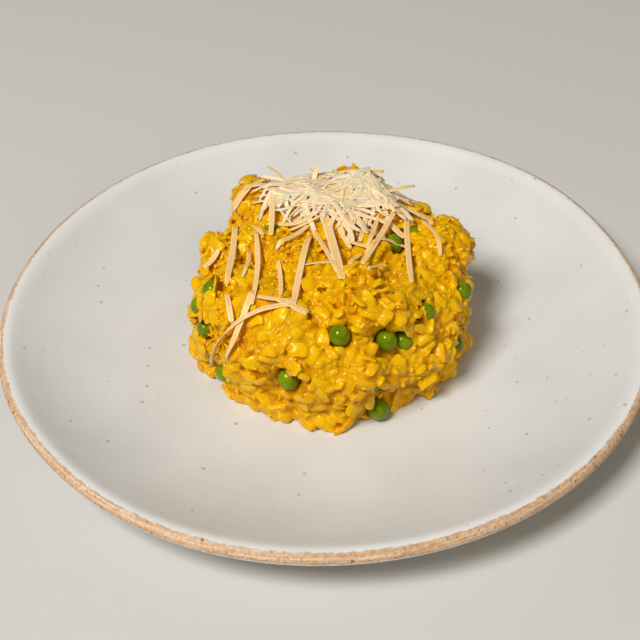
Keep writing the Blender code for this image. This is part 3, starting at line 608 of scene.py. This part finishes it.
def grains(name, centres, outward, along, sizes, rows, sides, bend):
    """Closed blunt grains: rings at -cos(pi s) along each grain, of radius sin(pi s) ** BLUNT. The
    radius is made uneven by waves round the ring and along the grain and by chance, the section is
    squarish, and the middle line sinks by bend * axial ** 2.
    """
    count = len(centres)
    turn = (np.arange(1, rows + 1) / (rows + 1) * pi)[None, :, None]
    bearing = (np.arange(sides) / sides * tau)[None, None, :]
    phase = randomly.uniform(0, tau, (4, count, 1, 1))
    uneven = (1 + 0.13 * np.cos(2 * bearing + phase[0] + turn)
              + 0.10 * np.cos(3 * bearing + phase[1] + 3 * turn))
    lumpy = 1 + 0.12 * np.cos(turn + phase[2]) + 0.06 * np.cos(4 * turn + phase[3])
    girth = np.sin(turn) ** BLUNT * uneven * lumpy
    girth = girth * (1 + 0.11 * randomly.normal(size=girth.shape))
    axial = -np.cos(turn) * np.ones_like(girth)
    length, width, depth = (sizes[:, axis, None, None] / 2 for axis in range(3))
    beside, above = (np.sign(wave) * np.abs(wave) ** SQUARISH for wave in (np.cos(bearing), np.sin(bearing)))
    local = np.stack((axial * length, girth * beside * width,
                      girth * above * depth - bend[:, None, None] * axial ** 2), axis=-1)
    tips = np.zeros((count, 2, 3))
    tips[:, 0, 0], tips[:, 1, 0] = -sizes[:, 0] / 2, sizes[:, 0] / 2
    tips[:, :, 2] = -bend[:, None]
    local = np.concatenate((local.reshape(count, -1, 3), tips), axis=1)
    axes = np.stack((along, np.cross(outward, along), outward), axis=1)
    placed = centres[:, None, :] + local @ axes
    placed[..., 2] = np.maximum(placed[..., 2], REST_Z)
    return rounded(name, placed.reshape(-1, 3), repeated(count, rows, sides), SHARP_FROM), placed


def lying(outward, upright, tilt):
    """Directions for grains that lie on the heap: a random turn about the outward direction, drawn
    towards upright where that share is high, then tilted up from the surface at random."""
    level = np.cross(outward, (0.0, 0.0, 1.0))
    level[np.linalg.norm(level, axis=1) < 0.2] = (1.0, 0.0, 0.0)
    level = unit(level - outward * (level * outward).sum(axis=1)[:, None])
    upward = np.cross(outward, level)
    turn = randomly.uniform(-pi / 2, pi / 2, len(outward)) * (1 - 0.6 * np.abs(upright))
    turn = turn + np.where(upright > 0, pi / 2, 0.0) * (np.abs(upright) > 0.05)
    flat = level * np.cos(turn)[:, None] + upward * np.sin(turn)[:, None]
    lift = (randomly.normal(0, 1, len(outward)) * tilt)[:, None]
    return unit(flat * np.cos(lift) + outward * np.sin(lift))


def facing_out(along, outward, roll):
    """The direction of a grain's flat side: outward, square to its length, then rolled about it."""
    straight = unit(outward - along * (outward * along).sum(axis=1)[:, None])
    return straight * np.cos(roll)[:, None] + np.cross(along, straight) * np.sin(roll)[:, None]


def settled(centres, along, sizes, wanted, lean):
    """Grains pushed apart until they only press into each other a little.

    Each grain is three beads along its middle line. Where two beads are closer than their width times
    the packing, measured with the offset along the surface's normal stretched to the grain's flatness,
    each is moved by a part of the overlap, which shifts its grain and turns it. A spring holds each
    grain at its height over the bed and at its lean, and it is kept off the peas and the plate.
    """
    beads = np.array((-1.0, 0.0, 1.0))
    reach = (sizes[:, 0] - sizes[:, 1]) / 2
    count = len(centres)
    for turn in range(SETTLING_ROUNDS):
        if turn % LOOK_AGAIN == 0:
            found = [bed_tree.find_nearest(centre) for centre in centres]
            base, outward = np.array([hit[0] for hit in found]), np.array([hit[1] for hit in found])
            apart = sum((centres[:, None, axis] - centres[None, :, axis]) ** 2 for axis in range(3))
            first, second = np.nonzero(np.triu(apart < (GRAIN_SIZE[0] * NEIGHBOURS) ** 2, 1))
            normal = unit(outward[first] + outward[second] + 1e-6)[:, None, None]
        line = centres[:, None] + along[:, None] * (beads[None, :, None] * reach[:, None, None])
        offset = line[second][:, None, :] - line[first][:, :, None]
        offset = offset + normal * (offset * normal).sum(axis=-1, keepdims=True) * (FLATNESS - 1)
        distance = np.linalg.norm(offset, axis=-1) + 1e-9
        room = ((sizes[first, 1] + sizes[second, 1]) / 2 * PACKING)[:, None, None]
        push = offset * (np.clip(room - distance, 0, None) / distance * PUSH)[..., None]
        shift = gathered(second, push.sum(axis=(1, 2)), count) - gathered(first, push.sum(axis=(1, 2)), count)
        spin = (gathered(second, (push * beads[None, None, :, None]).sum(axis=(1, 2)), count)
                - gathered(first, (push * beads[None, :, None, None]).sum(axis=(1, 2)), count))
        away = from_peas(line)
        gap = np.linalg.norm(away, axis=-1)
        lack = np.clip(pea_skin + sizes[:, None, None, 1] * 0.30 - gap, 0, None)
        shift += (away * (lack / gap * PEA_PUSH)[..., None]).sum(axis=(1, 2))
        centres = centres + shift
        along = unit(along + spin / reach[:, None] * TURN)
        height = ((centres - base) * outward).sum(axis=1)
        centres += outward * ((wanted - height) * HEIGHT_SPRING)[:, None]
        along = unit(along - outward * (((along * outward).sum(axis=1) - lean) * LEAN_SPRING)[:, None])
        centres[:, 2] = np.maximum(centres[:, 2], REST_Z + sizes[:, 2] * 0.42)
    return centres, along, base, outward


def clear_of_peas(centres, along, lengths, room):
    """Whether a grain's middle line keeps its distance from every pea."""
    share = np.linspace(-0.42, 0.42, 5)[None, :, None]
    line = centres[:, None, :] + along[:, None, :] * lengths[:, None, None] * share
    gap = np.linalg.norm(from_peas(line), axis=-1) - pea_skin
    return gap.min(axis=(1, 2)) > room


def scattered(name, kept, centres, facing, along, sizes, base, outward, rows, sides):
    """The mesh of the chosen grains, and a shrunken copy of it. Each point keeps how much painted shade or
    highlight it gets, 0 (painted shade) in the creases and 1 (painted highlight) where it stands 2.8 mm out
    of the bed, and its grain's lot."""
    bend = randomly.uniform(0, 0.09, kept.sum()) * sizes[kept, 0]
    mesh, placed = grains(name, centres[kept], facing[kept], along[kept], sizes[kept], rows, sides, bend)
    out = ((placed - base[kept][:, None, :]) * outward[kept][:, None, :]).sum(axis=-1) / MM
    note(mesh, "shade_and_highlight", np.clip((out + 0.6) / 3.4, 0, 1))
    note(mesh, "lot", np.repeat(randomly.uniform(0, 1, len(placed)), placed.shape[1]))
    middle = placed.mean(axis=1, keepdims=True)
    return mesh, moved(mesh.copy(), middle + (placed - middle) * SAUCE_SHARE)


# How the rice lies over the bed: on the right the grains stand up, elsewhere they lie level, and
# in patches and on the left they have gone to cream.
side = np.degrees(np.arctan2(bed[:, 1], bed[:, 0])) % 360
steep = 1 - np.clip(bed_normals[:, 2], 0, 1)
on_right = (np.clip((side - RIGHT_SIDE[0]) / SIDE_FADE, 0, 1)
            + np.clip((RIGHT_SIDE[1] - side) / SIDE_FADE, 0, 1) * (side < 90))
on_left = np.clip((side - LEFT_SIDE[0]) / SIDE_FADE, 0, 1) * np.clip((LEFT_SIDE[1] - side) / SIDE_FADE, 0, 1)
upright = (0.8 * on_right - 0.7 * (1 - on_right)) * steep
clod = np.clip(1.6 - np.linalg.norm(bed - FRONT_CLOD, axis=1) / CLOD_REACH, 0, 1)
patch = (np.sin(bed[:, 0] / PATCH_PITCH) * np.sin(bed[:, 1] / PATCH_PITCH + 1)
         * np.cos(bed[:, 2] / PATCH_PITCH))
creamy = np.clip(0.15 + 0.8 * patch + 0.45 * on_left, 0, 1) * (1 - clod)

# Whole grains and flattened ones settle together.
start = showing[spread_out(bed[showing], GRAIN_SPACING)]
count = len(start)
flake = randomly.uniform(0, 1, count) < FLAKE_SHARE
sizes = np.where(flake[:, None], FLAKE_SIZE, GRAIN_SIZE)
sizes = sizes * randomly.uniform(0.78, 1.15, (count, 3))
along = lying(bed_normals[start], upright[start], 0.22 + 0.35 * clod[start])
lean = (along * bed_normals[start]).sum(axis=1)
wanted = randomly.uniform(-1.3, 1.0, count) * MM + np.where(flake, FLAKE_LIFT, 0.0)
wanted -= creamy[start] * CREAMY_DEPTH
from_pea = np.linalg.norm(bed[start][:, None] - pea_centres, axis=-1)
wanted += (pea_cover * np.exp(-(from_pea / COVER_REACH) ** 6)).max(axis=1)
centres = bed[start] + bed_normals[start] * wanted[:, None]
centres, along, base, outward = settled(centres, along, sizes, wanted, lean)
roll = randomly.normal(0, 0.35, count) + (on_right * steep)[start] * randomly.uniform(0.4, 1.3, count)
facing = facing_out(along, outward, roll)
keep = clear_of_peas(centres, along, sizes[:, 0], PEA_ROOM)
whole_mesh, whole_core = scattered("rice", keep & ~flake, centres, facing, along, sizes, base, outward,
                                   GRAIN_ROWS, GRAIN_SIDES)
flake_mesh, flake_core = scattered("flakes", keep & flake, centres, facing, along, sizes, base, outward,
                                   GRAIN_ROWS, GRAIN_SIDES)

# Broken bits lie thickest on the left.
start = showing[spread_out(bed[showing], BIT_SPACING)]
start = start[bed_normals[start, 2] > -0.1]
start = start[randomly.uniform(0, 1, len(start)) < (0.4 + 0.6 * on_left[start] + 0.3 * on_right[start])]
sizes = BIT_SIZE * randomly.uniform(0.5, 1.3, (len(start), 3))
along = lying(bed_normals[start], upright[start], 0.7)
centres = bed[start] + bed_normals[start] * randomly.uniform(0.9, 2.1, (len(start), 1)) * MM
facing = facing_out(along, bed_normals[start], randomly.normal(0, 0.5, len(start)))
keep = clear_of_peas(centres, along, sizes[:, 0], BIT_PEA_ROOM)
bit_mesh, bit_core = scattered("bits", keep, centres, facing, along, sizes, bed[start], bed_normals[start],
                               BIT_ROWS, BIT_SIDES)

# The sauce: bed and shrunken grains fused, smoothed, kept off the peas, and drawn in along a
# parabola where it meets the plate. How far it stands out of its own broad shape sets its painted shade in
# the hollows and painted highlight on the bumps.
sunk_mesh = moved(bed_mesh.copy(), bed - bed_normals * SUNK)
sauce_mesh = remade(together(sunk_mesh, whole_core, flake_core, bit_core), SAUCE_STEP)
edges = edges_of(sauce_mesh)
skin = relaxed(points_of(sauce_mesh), edges, 2)
away = from_peas(skin)
gap = np.linalg.norm(away, axis=-1)
skin = skin + (away * (np.clip(pea_skin + 0.2 * MM - gap, 0, None) / gap)[..., None]).sum(axis=1)
low = np.clip((skin[:, 2] - REST_Z) / SAUCE_FOOT, 0, 1)
skin[:, 2] = np.where(low < 1, REST_Z + low ** 2 * SAUCE_FOOT, skin[:, 2])
moved(sauce_mesh, skin).shade_smooth()
out = stands_out(sauce_mesh, skin, edges, 26)
note(sauce_mesh, "shade_and_highlight", np.clip((out + 0.9) / 1.9, 0, 1))
note(sauce_mesh, "lot", np.full(len(skin), 0.5))

# Saffron rice: painted shade makes it orange-brown in the creases, it is deep yellow on the sides,
# and a painted highlight makes it bright on the crowns.
mix = Finish("saffron rice")
where = mix.place()
fine = mix.noise(where, 700.0, 3.0)
level = mix.noted("shade_and_highlight")
for uneven, much, less in ((mix.noise(where, 90.0), 0.35, -0.17), (mix.noted("lot"), 0.22, -0.11),
                           (fine, 0.2, -0.1)):
    level = mix.number("ADD", level, mix.number("MULTIPLY_ADD", uneven, much, less))
# painted shade in the creases, then a painted highlight on the crowns
colour = mix.blend(mix.step(level, 0.0, 0.42), CREASE_SHADE, RICE_SIDE)
colour = mix.blend(mix.step(level, 0.35, 0.95), colour, CROWN_HIGHLIGHT)
mix.surface(Base_Color=colour, Roughness=mix.number("MULTIPLY_ADD", fine, 0.25, 0.15), IOR=1.45,
            Specular_Tint=(1.0, 0.82, 0.30, 1), Subsurface_Weight=0.45, Subsurface_Radius=(1.0, 0.6, 0.1),
            Subsurface_Scale=1.2 * MM, Normal=mix.relief(mix.noise(where, 420.0), 0.5, 0.8 * MM))
rice_finish = mix.material
served("rice_sauce", sauce_mesh, rice_finish, "saffron_rice", "risotto")
served("rice_grains", whole_mesh, rice_finish, "saffron_rice")
served("rice_flakes", flake_mesh, rice_finish, "saffron_rice")
served("rice_bits", bit_mesh, rice_finish, "saffron_rice")


# ---- peas ----
# Cooked garden peas, each half sunk in a hollow between the clods. The skin is tight and
# smooth, with a dimple or a soft dent where it has begun to wrinkle.

PEA_ROWS, PEA_SIDES = 17, 26
PEA_SWELL = 1.01  # a pea's size over its solid's
DENTS, DENT_WIDTH = 3, 0.42  # how many, and how wide in radians
PEA_TONES = (0.11, 0.172, 0.001, 1), (0.21, 0.29, 0.001, 1)
PEA_MOTTLE = (0.245, 0.325, 0.004, 1)

mix = Finish("pea skin")
where = mix.place()
mottle = mix.noise(where, 900.0, 3.0)
green = mix.blend(mix.step(mix.noise(where, 160.0), 0.3, 0.7), *PEA_TONES)
green = mix.blend(mix.times(mix.step(mottle, 0.45, 0.75), 0.35), green, PEA_MOTTLE)
wrinkles = mix.number("ADD", mix.noise(where, 230.0), mix.times(mottle, 0.15))
mix.surface(Base_Color=green, Roughness=0.26, IOR=1.42, Specular_Tint=(0.9, 1.0, 0.1, 1),
            Subsurface_Weight=0.25, Subsurface_Radius=(1.0, 1.0, 0.3), Subsurface_Scale=0.8 * MM,
            Coat_Weight=0.22, Coat_Roughness=0.05, Normal=mix.relief(wrinkles, 0.45, 0.9 * MM))
pea_finish = mix.material

# A pea is a sphere pressed in at a few places by bell curves depth * exp(-(angle / width) ** 2).
turn = (np.arange(1, PEA_ROWS + 1) / (PEA_ROWS + 1) * pi)[:, None]
around = (np.arange(PEA_SIDES) / PEA_SIDES * tau)[None, :]
sphere = np.stack((np.sin(turn) * np.cos(around), np.sin(turn) * np.sin(around),
                   -np.cos(turn) * np.ones_like(around)), axis=-1).reshape(-1, 3)
sphere = np.vstack((sphere, (0, 0, -1), (0, 0, 1)))
for name, centre, radius in zip(pea_names, pea_centres, pea_radii):
    dents = unit(randomly.normal(size=(DENTS, 3)))
    depth = randomly.uniform(0.02, 0.07, DENTS)
    angle = np.arccos(np.clip(sphere @ dents.T, -1, 1))
    shape = PEA_SWELL - (depth * np.exp(-(angle / DENT_WIDTH) ** 2)).sum(axis=1)
    pea_mesh = rounded(name, centre + sphere * radius * shape[:, None], rings(PEA_ROWS, PEA_SIDES))
    served(name.replace("pea_", "garden_pea_"), pea_mesh, pea_finish, "pea_skin", name)


# ---- cheese ----
# Hard cheese drawn over a coarse grater: long thin ribbons, slightly cupped across. Some lie
# apart, draped over the rice or hanging off its edge, and a tangle of them is heaped on the
# rear of the top, where the lower ones have sunk into one mass.

SHRED_THICKNESS, SOFT_THICKNESS = 0.42 * MM, 0.60 * MM
SHRED_CUP = 0.16 * MM
SHRED_KNOTS, HEAP_KNOTS = 26, 14  # points along a shred that lies apart, and along a heaped one
SHRED_SIDES, HEAP_SIDES, SOFT_SIDES = 12, 8, 6
LAID_SAG, HEAP_SAG, DRAPE_ROUNDS = 0.004 * MM, 0.006 * MM, 160
CELL = 0.9 * MM  # grid that holds the height of whatever lies highest
GRID_REACH = 80  # grid cells from the middle to the edge of that grid
LAID_LIMIT, HEAP_LIMIT = 1.2 * MM, 1.3 * MM  # how far crossing shreds may climb
MOUND_X, MOUND_Y = 4.0 * MM, 31.0 * MM
MOUND_REACH, MOUND_RISE = (27.0 * MM, 17.0 * MM), 4.0 * MM
MOUND_ROWS, MOUND_SIDES = 24, 96
MOUND_UNDER, MOUND_FILL = 1.2 * MM, 1.7 * MM  # how deep it lies in the rice, and under the shreds
MASS_STEP = 0.34 * MM
STACKED_FROM = 2.2 * MM  # so far over the rice, shreds count as stacked
# Heaps: how many shreds, middle, spread, half length (mm), stray (degrees), greatest width (mm).
SOFT_HEAP = 130, (4, 32), (23, 10), (6, 14), 180, 1.9
TOP_HEAP = 40, (3, 33), (26, 10), (7, 14), 180, 2.0
LOOSE_HEAP = 64, (8, 21), (21, 14), (6, 12), 60, 2.4
LAID_SHREDS = (  # shreds that lie apart: from x, y to x, y, bow, width (mm)
    (-36, 24, -38, -21, 0.8, 2.4), (-21, 44, -21, 7, 0.5, 2.3), (-24, 42, -37, 29, 0.8, 2.5),
    (-39, 33, -20, 36, 0.5, 2.4), (-27, 8, -28, -33, 1.4, 2.0), (-28, 12, -24, 6, 0.2, 1.8),
    (-30, 1, -32, -18, 0.9, 1.5), (-18, -9, -17, -29, 0.5, 1.7), (-5, 8, -12, -36, -0.4, 2.5),
    (0, 20, 7, -24, 0.4, 3.7), (-5, 14, 5, -19, 0.5, 2.0), (-26, -30, -11, -35, 0.5, 2.0),
    (-18, -33, -7, -39, -0.6, 2.0), (-42, 2, -48, -6, 0.4, 2.0), (36, 33, 34, -24, -0.8, 2.3),
    (41, 15, 47, -4, 1.4, 1.8), (36, 33, 45, 13, 0.6, 2.1), (24, 36, 40, 41, 0.5, 2.0),
    (10, 38, 27, 47, 0.6, 2.0), (33, 29, 15, -17, 0.5, 2.3), (17, -8, 34, 3, 3.5, 1.6),
    (-10, -14, 5, -12, 1.9, 1.6), (17, -21, 25, -13, 0.0, 1.7), (10, -17, 15, -8, 0.3, 1.6),
    (25, 16, 33, 6, 0.4, 2.7), (-19, -2, -5, 15, -0.8, 2.0), (-20, 18, -2, 18, -3.0, 2.0),
    (18, 19, 15, -1, 0.3, 2.0), (23, 18, 18, -5, 0.4, 1.8), (6, 10, 11, -3, 0.3, 1.8),
    (9, 4, 19, -7, -0.5, 1.8),
)
HANGING_SHREDS = (  # shreds that hang over the edge: width, then knots x, y, z (mm)
    (2.5, (-46, -31, 20), (-43.5, -34, 33), (-39, -37, 43), (-31, -37, 51), (-19, -35, 55), (-6, -38, 51)),
    (2.5, (-28, -27, 55), (-30, -34, 53), (-33, -38, 47), (-36, -41, 41), (-39, -42, 34)),
    (2.2, (-38, -24, 51), (-37, -31, 51), (-36, -36, 47)),
    (2.3, (4, 42, 56), (12, 45, 58), (20, 47, 58.5), (27, 49, 57)),
    (2.0, (18, 33, 56), (28, 34, 57), (34, 36, 57.5), (39.5, 39, 56)),
    (2.3, (-22, 40, 53), (-29, 42, 55), (-34.5, 44, 56)),
    (1.8, (-14, 44, 54), (-18, 48, 58), (-23, 50, 60.5)),
    (2.0, (-3, 34, 57), (-3, 38, 61), (-2, 41, 64), (0, 42, 66)),
    (1.8, (3, 36, 57), (0, 40, 61), (-5, 43, 63.5)),
)
# the first colour is painted light from the rice through thin shreds; the stacked one is the cheese's own
RICE_LIT_CREAM, STACKED_CREAM = (0.91, 0.53, 0.11, 1), (0.89, 0.70, 0.46, 1)
# a painted highlight for cut edges, painted warm shade for the mass's hollows; crumbs are the cheese's own
EDGE_HIGHLIGHT_CREAM, HOLLOW_SHADE_CREAM, CRUMB_CREAM = (0.99, 0.82, 0.57, 1), (0.96, 0.60, 0.14, 1), (0.97, 0.84, 0.60, 1)

randomly = np.random.default_rng(5)


def nearby(field):
    """Nine copies of the field, each moved by a cell or none to either side."""
    wide = np.pad(field, 1, "edge")
    return [wide[dy:dy + field.shape[0], dx:dx + field.shape[1]] for dy in range(3) for dx in range(3)]


def evened(field, rounds):
    """The field with each cell made the mean of its neighbours, so many times over."""
    for _ in range(rounds):
        field = np.mean(nearby(field), axis=0)
    return field


def cell_of(x, y):
    """The column and the row of the grid that each place lies in."""
    return (np.round(place / CELL).astype(int) + GRID_REACH for place in (x, y))


def highest(*pieces):
    """The height of what lies highest in each cell of a square grid over the heap: the third highest
    of the nine cells round it, so that no single tip counts."""
    field = np.full((2 * GRID_REACH + 1, 2 * GRID_REACH + 1), FLOOR_Z)
    for points in pieces:
        column, row = cell_of(points[:, 0], points[:, 1])
        np.maximum.at(field, (row, column), points[:, 2])
    return np.sort(nearby(field), axis=0)[-3]


def under(field, x, y):
    """The field's height at given places."""
    column, row = cell_of(x, y)
    return field[row, column]


def drape(field, route, sag):
    """Heights of a shred that lies on the field: each knot settles to the mean of its neighbours less
    a little sag, but never below the field, and the ends run on straight."""
    support = under(field, route[:, 0], route[:, 1])
    heights = support.copy()
    for _ in range(DRAPE_ROUNDS):
        mean = (heights[:-2] + heights[2:]) / 2 - sag
        heights[1:-1] = np.maximum(support[1:-1], mean)
        heights[0] = max(support[0], 2 * heights[1] - heights[2] - sag)
        heights[-1] = max(support[-1], 2 * heights[-2] - heights[-3] - sag)
    return heights


def arc_route(start, end, bow, knots):
    """Points from start to end seen from above, bowed to the left of the line between them by
    bow * 4 * share * (1 - share)."""
    share = np.linspace(0, 1, knots)[:, None]
    across = unit(np.array((start[1] - end[1], end[0] - start[0])))
    return start + (end - start) * share + across * bow * 4 * share * (1 - share)


def raise_field(field, limit, knots, width):
    """Lift the field to a shred that now lies there, but not past the limit."""
    for offset in np.linspace(-0.5, 0.5, 3):
        direction = unit(np.gradient(knots[:, :2], axis=0))
        at = knots[:, :2] + np.stack((-direction[:, 1], direction[:, 0]), axis=1) * width * offset
        column, row = cell_of(at[:, 0], at[:, 1])
        top = np.minimum(knots[:, 2] + SHRED_THICKNESS * 0.9, limit[row, column])
        np.maximum.at(field, (row, column), top)


def ribbons(name, shreds, sides, thickness):
    """Cupped ribbons, each given by its route, width and twist. The section is a flattened ring, both
    of its halves raised by cup * across ** 2, and it is turned along the way by the twist. Its "rim"
    is how far out across the ribbon a point lies.
    """
    routes, widths, twist = (np.array(part) for part in zip(*shreds))
    widths = widths[:, None, None]
    along = unit(np.gradient(routes, axis=1))
    level = unit(np.cross((0.0, 0.0, 1.0), along))
    outward = np.cross(along, level)
    share = np.linspace(-1, 1, routes.shape[1])[None, :, None]
    roll = twist[:, 0, None, None] + twist[:, 1, None, None] * share
    sideways = level * np.cos(roll) + outward * np.sin(roll)
    up = outward * np.cos(roll) - level * np.sin(roll)
    turn = np.arange(sides) / sides * tau
    across = np.sign(np.cos(turn)) * np.abs(np.cos(turn)) ** 0.8
    over = np.sign(np.sin(turn)) * np.abs(np.sin(turn)) ** 0.5 / 2
    taper = 1 - 0.35 * np.abs(share) ** 6
    lift = over * thickness + across ** 2 * SHRED_CUP
    offset = (sideways[:, :, None, :] * (across * widths / 2 * taper)[..., None]
              + up[:, :, None, :] * (lift[None, None, :] * np.ones_like(taper))[..., None])
    placed = routes[:, :, None, :] + offset
    ends = np.stack((placed[:, 0].mean(axis=1), placed[:, -1].mean(axis=1)), axis=1)
    count, knots = placed.shape[:2]
    everything = np.concatenate((placed.reshape(count, -1, 3), ends), axis=1).reshape(-1, 3)
    mesh = rounded(name, everything, repeated(count, knots, sides))
    note(mesh, "rim", np.tile(np.append(np.tile(np.abs(across), knots), (0.5, 0.5)), count))
    return mesh, everything


def heaped(count, middle, spread, reach, stray, widest, sides, thickness):
    """Shreds dropped one after another round a point (mm). Each is draped over those before it and
    lifts the field for those after it. Half its length is drawn from the reach (mm), its heading
    strays so many degrees from straight outward, and its ends curl up by curl * share ** 2."""
    shreds = []
    for _ in range(count):
        out, bearing = randomly.uniform(0, 1) ** 0.55, randomly.uniform(0, tau)
        at = np.array((middle[0] + spread[0] * out * np.cos(bearing),
                       middle[1] + spread[1] * out * np.sin(bearing))) * MM
        heading = np.arctan2(at[1] - MOUND_Y, at[0] - MOUND_X) + radians(randomly.uniform(-stray, stray))
        half = np.array((np.cos(heading), np.sin(heading))) * randomly.uniform(*reach) * MM
        route = arc_route(at - half, at + half, randomly.normal(0, 2.2) * MM, HEAP_KNOTS)
        knots = np.column_stack((route, drape(field, route, HEAP_SAG)))
        width = randomly.uniform(1.3, widest) * MM
        raise_field(field, limit, knots, width)
        curl = randomly.uniform(0, 0.8) * MM * np.linspace(-1, 1, HEAP_KNOTS) ** 2
        knots[:, 2] += curl + 0.2 * MM
        shreds.append((knots, width, (randomly.normal(0, 0.2), randomly.normal(0, 0.25))))
    return ribbons("heaped", shreds, sides, thickness)


def mound(rice_top, field):
    """The mass that fills the heap to just under its shreds: rings round its middle, ragged by two
    sines, from the middle out to a rim that lies in the rice, and two more rings under the rim."""
    rows = MOUND_ROWS + 2
    out = np.concatenate((np.linspace(0.04, 1.0, MOUND_ROWS), (0.98, 0.5)))[:, None]
    bearing = (np.arange(MOUND_SIDES) / MOUND_SIDES * tau)[None, :]
    ragged = 1 + 0.10 * np.sin(5 * bearing) + 0.08 * np.sin(9 * bearing + 1)
    x = MOUND_X + MOUND_REACH[0] * ragged * out * np.cos(bearing)
    y = MOUND_Y + MOUND_REACH[1] * ragged * out * np.sin(bearing)
    buried = under(evened(rice_top, 1), x, y) - MOUND_UNDER
    filled = np.maximum(under(evened(field, 3), x, y) - MOUND_FILL, buried)
    share = np.where(np.arange(rows) < MOUND_ROWS, np.clip((1 - out[:, 0]) / 0.2, 0, 1), 0)[:, None]
    z = buried + (filled - buried) * share
    points = np.vstack((np.stack((x, y, z), axis=-1).reshape(-1, 3),
                        (MOUND_X, MOUND_Y, z[0].mean()), (MOUND_X, MOUND_Y, z[-1].mean())))
    return rounded("mound", points, [part[:, ::-1] for part in rings(rows, MOUND_SIDES)])


def stacked(points):
    """How high points lie over the rice, 0 on it and 1 where shreds are stacked that high."""
    return np.clip((points[:, 2] - under(rice_top, points[:, 0], points[:, 1])) / STACKED_FROM, 0, 1)


# What the shreds lie on: the rice, and at the rear a half ellipsoid that they heap up over.
rice_top = highest(*[points_of(mesh) for mesh in (sauce_mesh, whole_mesh, flake_mesh, bit_mesh)])
steps = (np.arange(2 * GRID_REACH + 1) - GRID_REACH) * CELL
from_middle = np.hypot((steps[None, :] - MOUND_X) / MOUND_REACH[0],
                       (steps[:, None] - MOUND_Y) / MOUND_REACH[1])
dome = evened(rice_top, 3) + MOUND_RISE * np.sqrt(np.clip(1 - from_middle ** 2, 0, None))
field = np.maximum(rice_top, np.where(from_middle < 1, dome, FLOOR_Z))
limit = np.maximum(rice_top + LAID_LIMIT, field + HEAP_LIMIT)

laid = []
for *ends, bow, width in LAID_SHREDS:
    route = arc_route(np.array(ends[:2]) * MM, np.array(ends[2:]) * MM, bow * MM, SHRED_KNOTS)
    knots = np.column_stack((route, drape(field, route, LAID_SAG)))
    raise_field(field, limit, knots, width * MM)
    knots[:, 2] += 0.25 * MM
    laid.append((knots, width * MM, (randomly.normal(0, 0.12), randomly.normal(0, 0.15))))

# A hanging shred runs evenly through its knots, is smoothed, and is lifted where it would cut
# into the rice by less than four millimetres.
for width, *knots in HANGING_SHREDS:
    knots = np.array(knots) * MM
    run = np.concatenate(((0,), np.cumsum(np.linalg.norm(np.diff(knots, axis=0), axis=1))))
    along = np.linspace(0, run[-1], SHRED_KNOTS)
    route = np.stack([np.interp(along, run, knots[:, axis]) for axis in range(3)], axis=1)
    for _ in range(6):
        route[1:-1] = (route[:-2] + 2 * route[1:-1] + route[2:]) / 4
    support = under(field, route[:, 0], route[:, 1])
    lifted = np.maximum(route[:, 2], support + 0.2 * MM)
    route[:, 2] = np.where(support - route[:, 2] < 4 * MM, lifted, route[:, 2])
    route[1:-1, 2] = (route[:-2, 2] + 2 * route[1:-1, 2] + route[2:, 2]) / 4
    laid.append((route, width * MM, (0.0, 0.1)))
laid_mesh, laid_points = ribbons("laid", laid, SHRED_SIDES, SHRED_THICKNESS)

# The lower shreds and the mound are fused into one mass. Its "rim" is how far it stands out of
# its own broad shape.
soft_mesh = heaped(*SOFT_HEAP, SOFT_SIDES, SOFT_THICKNESS)[0]
mass_mesh = remade(together(mound(rice_top, field), soft_mesh), MASS_STEP)
edges = edges_of(mass_mesh)
mass_points = relaxed(points_of(mass_mesh), edges, 1)
moved(mass_mesh, mass_points).shade_smooth()
out = stands_out(mass_mesh, mass_points, edges, 20)
note(mass_mesh, "rim", np.clip((out + 0.25) / 0.6, 0, 1))
note(mass_mesh, "mass", np.ones(len(out)))
top_mesh, top_points = heaped(*TOP_HEAP, HEAP_SIDES, SHRED_THICKNESS)
loose_mesh, loose_points = heaped(*LOOSE_HEAP, HEAP_SIDES, SHRED_THICKNESS)
note(laid_mesh, "stacked", stacked(laid_points) * 0.3)
note(mass_mesh, "stacked", stacked(mass_points))
note(loose_mesh, "stacked", stacked(loose_points) * 0.8)
note(top_mesh, "stacked", stacked(top_points))

# Cheese is painted yellow where a thin shred lies on the rice, as painted light from the rice coming
# through it, and painted a warm shade in the hollows of the mass, where light comes through. It is pale
# where shreds are stacked, and a painted highlight lightens their cut edges and the bumps of the mass.
mix = Finish("hard cheese")
where = mix.place()
crumb = mix.noise(where, 500.0, 3.0)
# painted light from the rice through thin shreds, fading to the pale stacked cream
cream = mix.blend(mix.noted("stacked"), RICE_LIT_CREAM, STACKED_CREAM)
# painted highlight along the cut edges of the shreds and on the bumps of the mass
cream = mix.blend(mix.times(mix.step(mix.noted("rim"), 0.45, 1.0), 0.8), cream, EDGE_HIGHLIGHT_CREAM)
# painted warm shade in the hollows of the mass
hollow_shade = mix.times(mix.noted("mass"), mix.step(mix.noted("rim"), 0.50, 0.15))
cream = mix.blend(mix.times(hollow_shade, 0.95), cream, HOLLOW_SHADE_CREAM)
cream = mix.blend(mix.times(mix.step(crumb, 0.4, 0.8), 0.25), cream, CRUMB_CREAM)
mix.surface(Base_Color=cream, Roughness=0.42, IOR=1.45, Specular_Tint=(1.0, 0.9, 0.7, 1),
            Subsurface_Weight=mix.times(mix.noted("mass"), 0.85), Subsurface_Radius=(1.0, 0.85, 0.6),
            Subsurface_Scale=2.5 * MM, Normal=mix.relief(crumb, 0.25, 0.3 * MM))
cheese_finish = mix.material
shred_names = sorted(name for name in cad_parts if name.startswith("shred_"))
served("cheese_shreds", laid_mesh, cheese_finish, "hard_cheese", *shred_names)
served("cheese_heap", mass_mesh, cheese_finish, "hard_cheese", "grated_cheese")
served("cheese_loose", loose_mesh, cheese_finish, "hard_cheese")
served("cheese_top", top_mesh, cheese_finish, "hard_cheese")
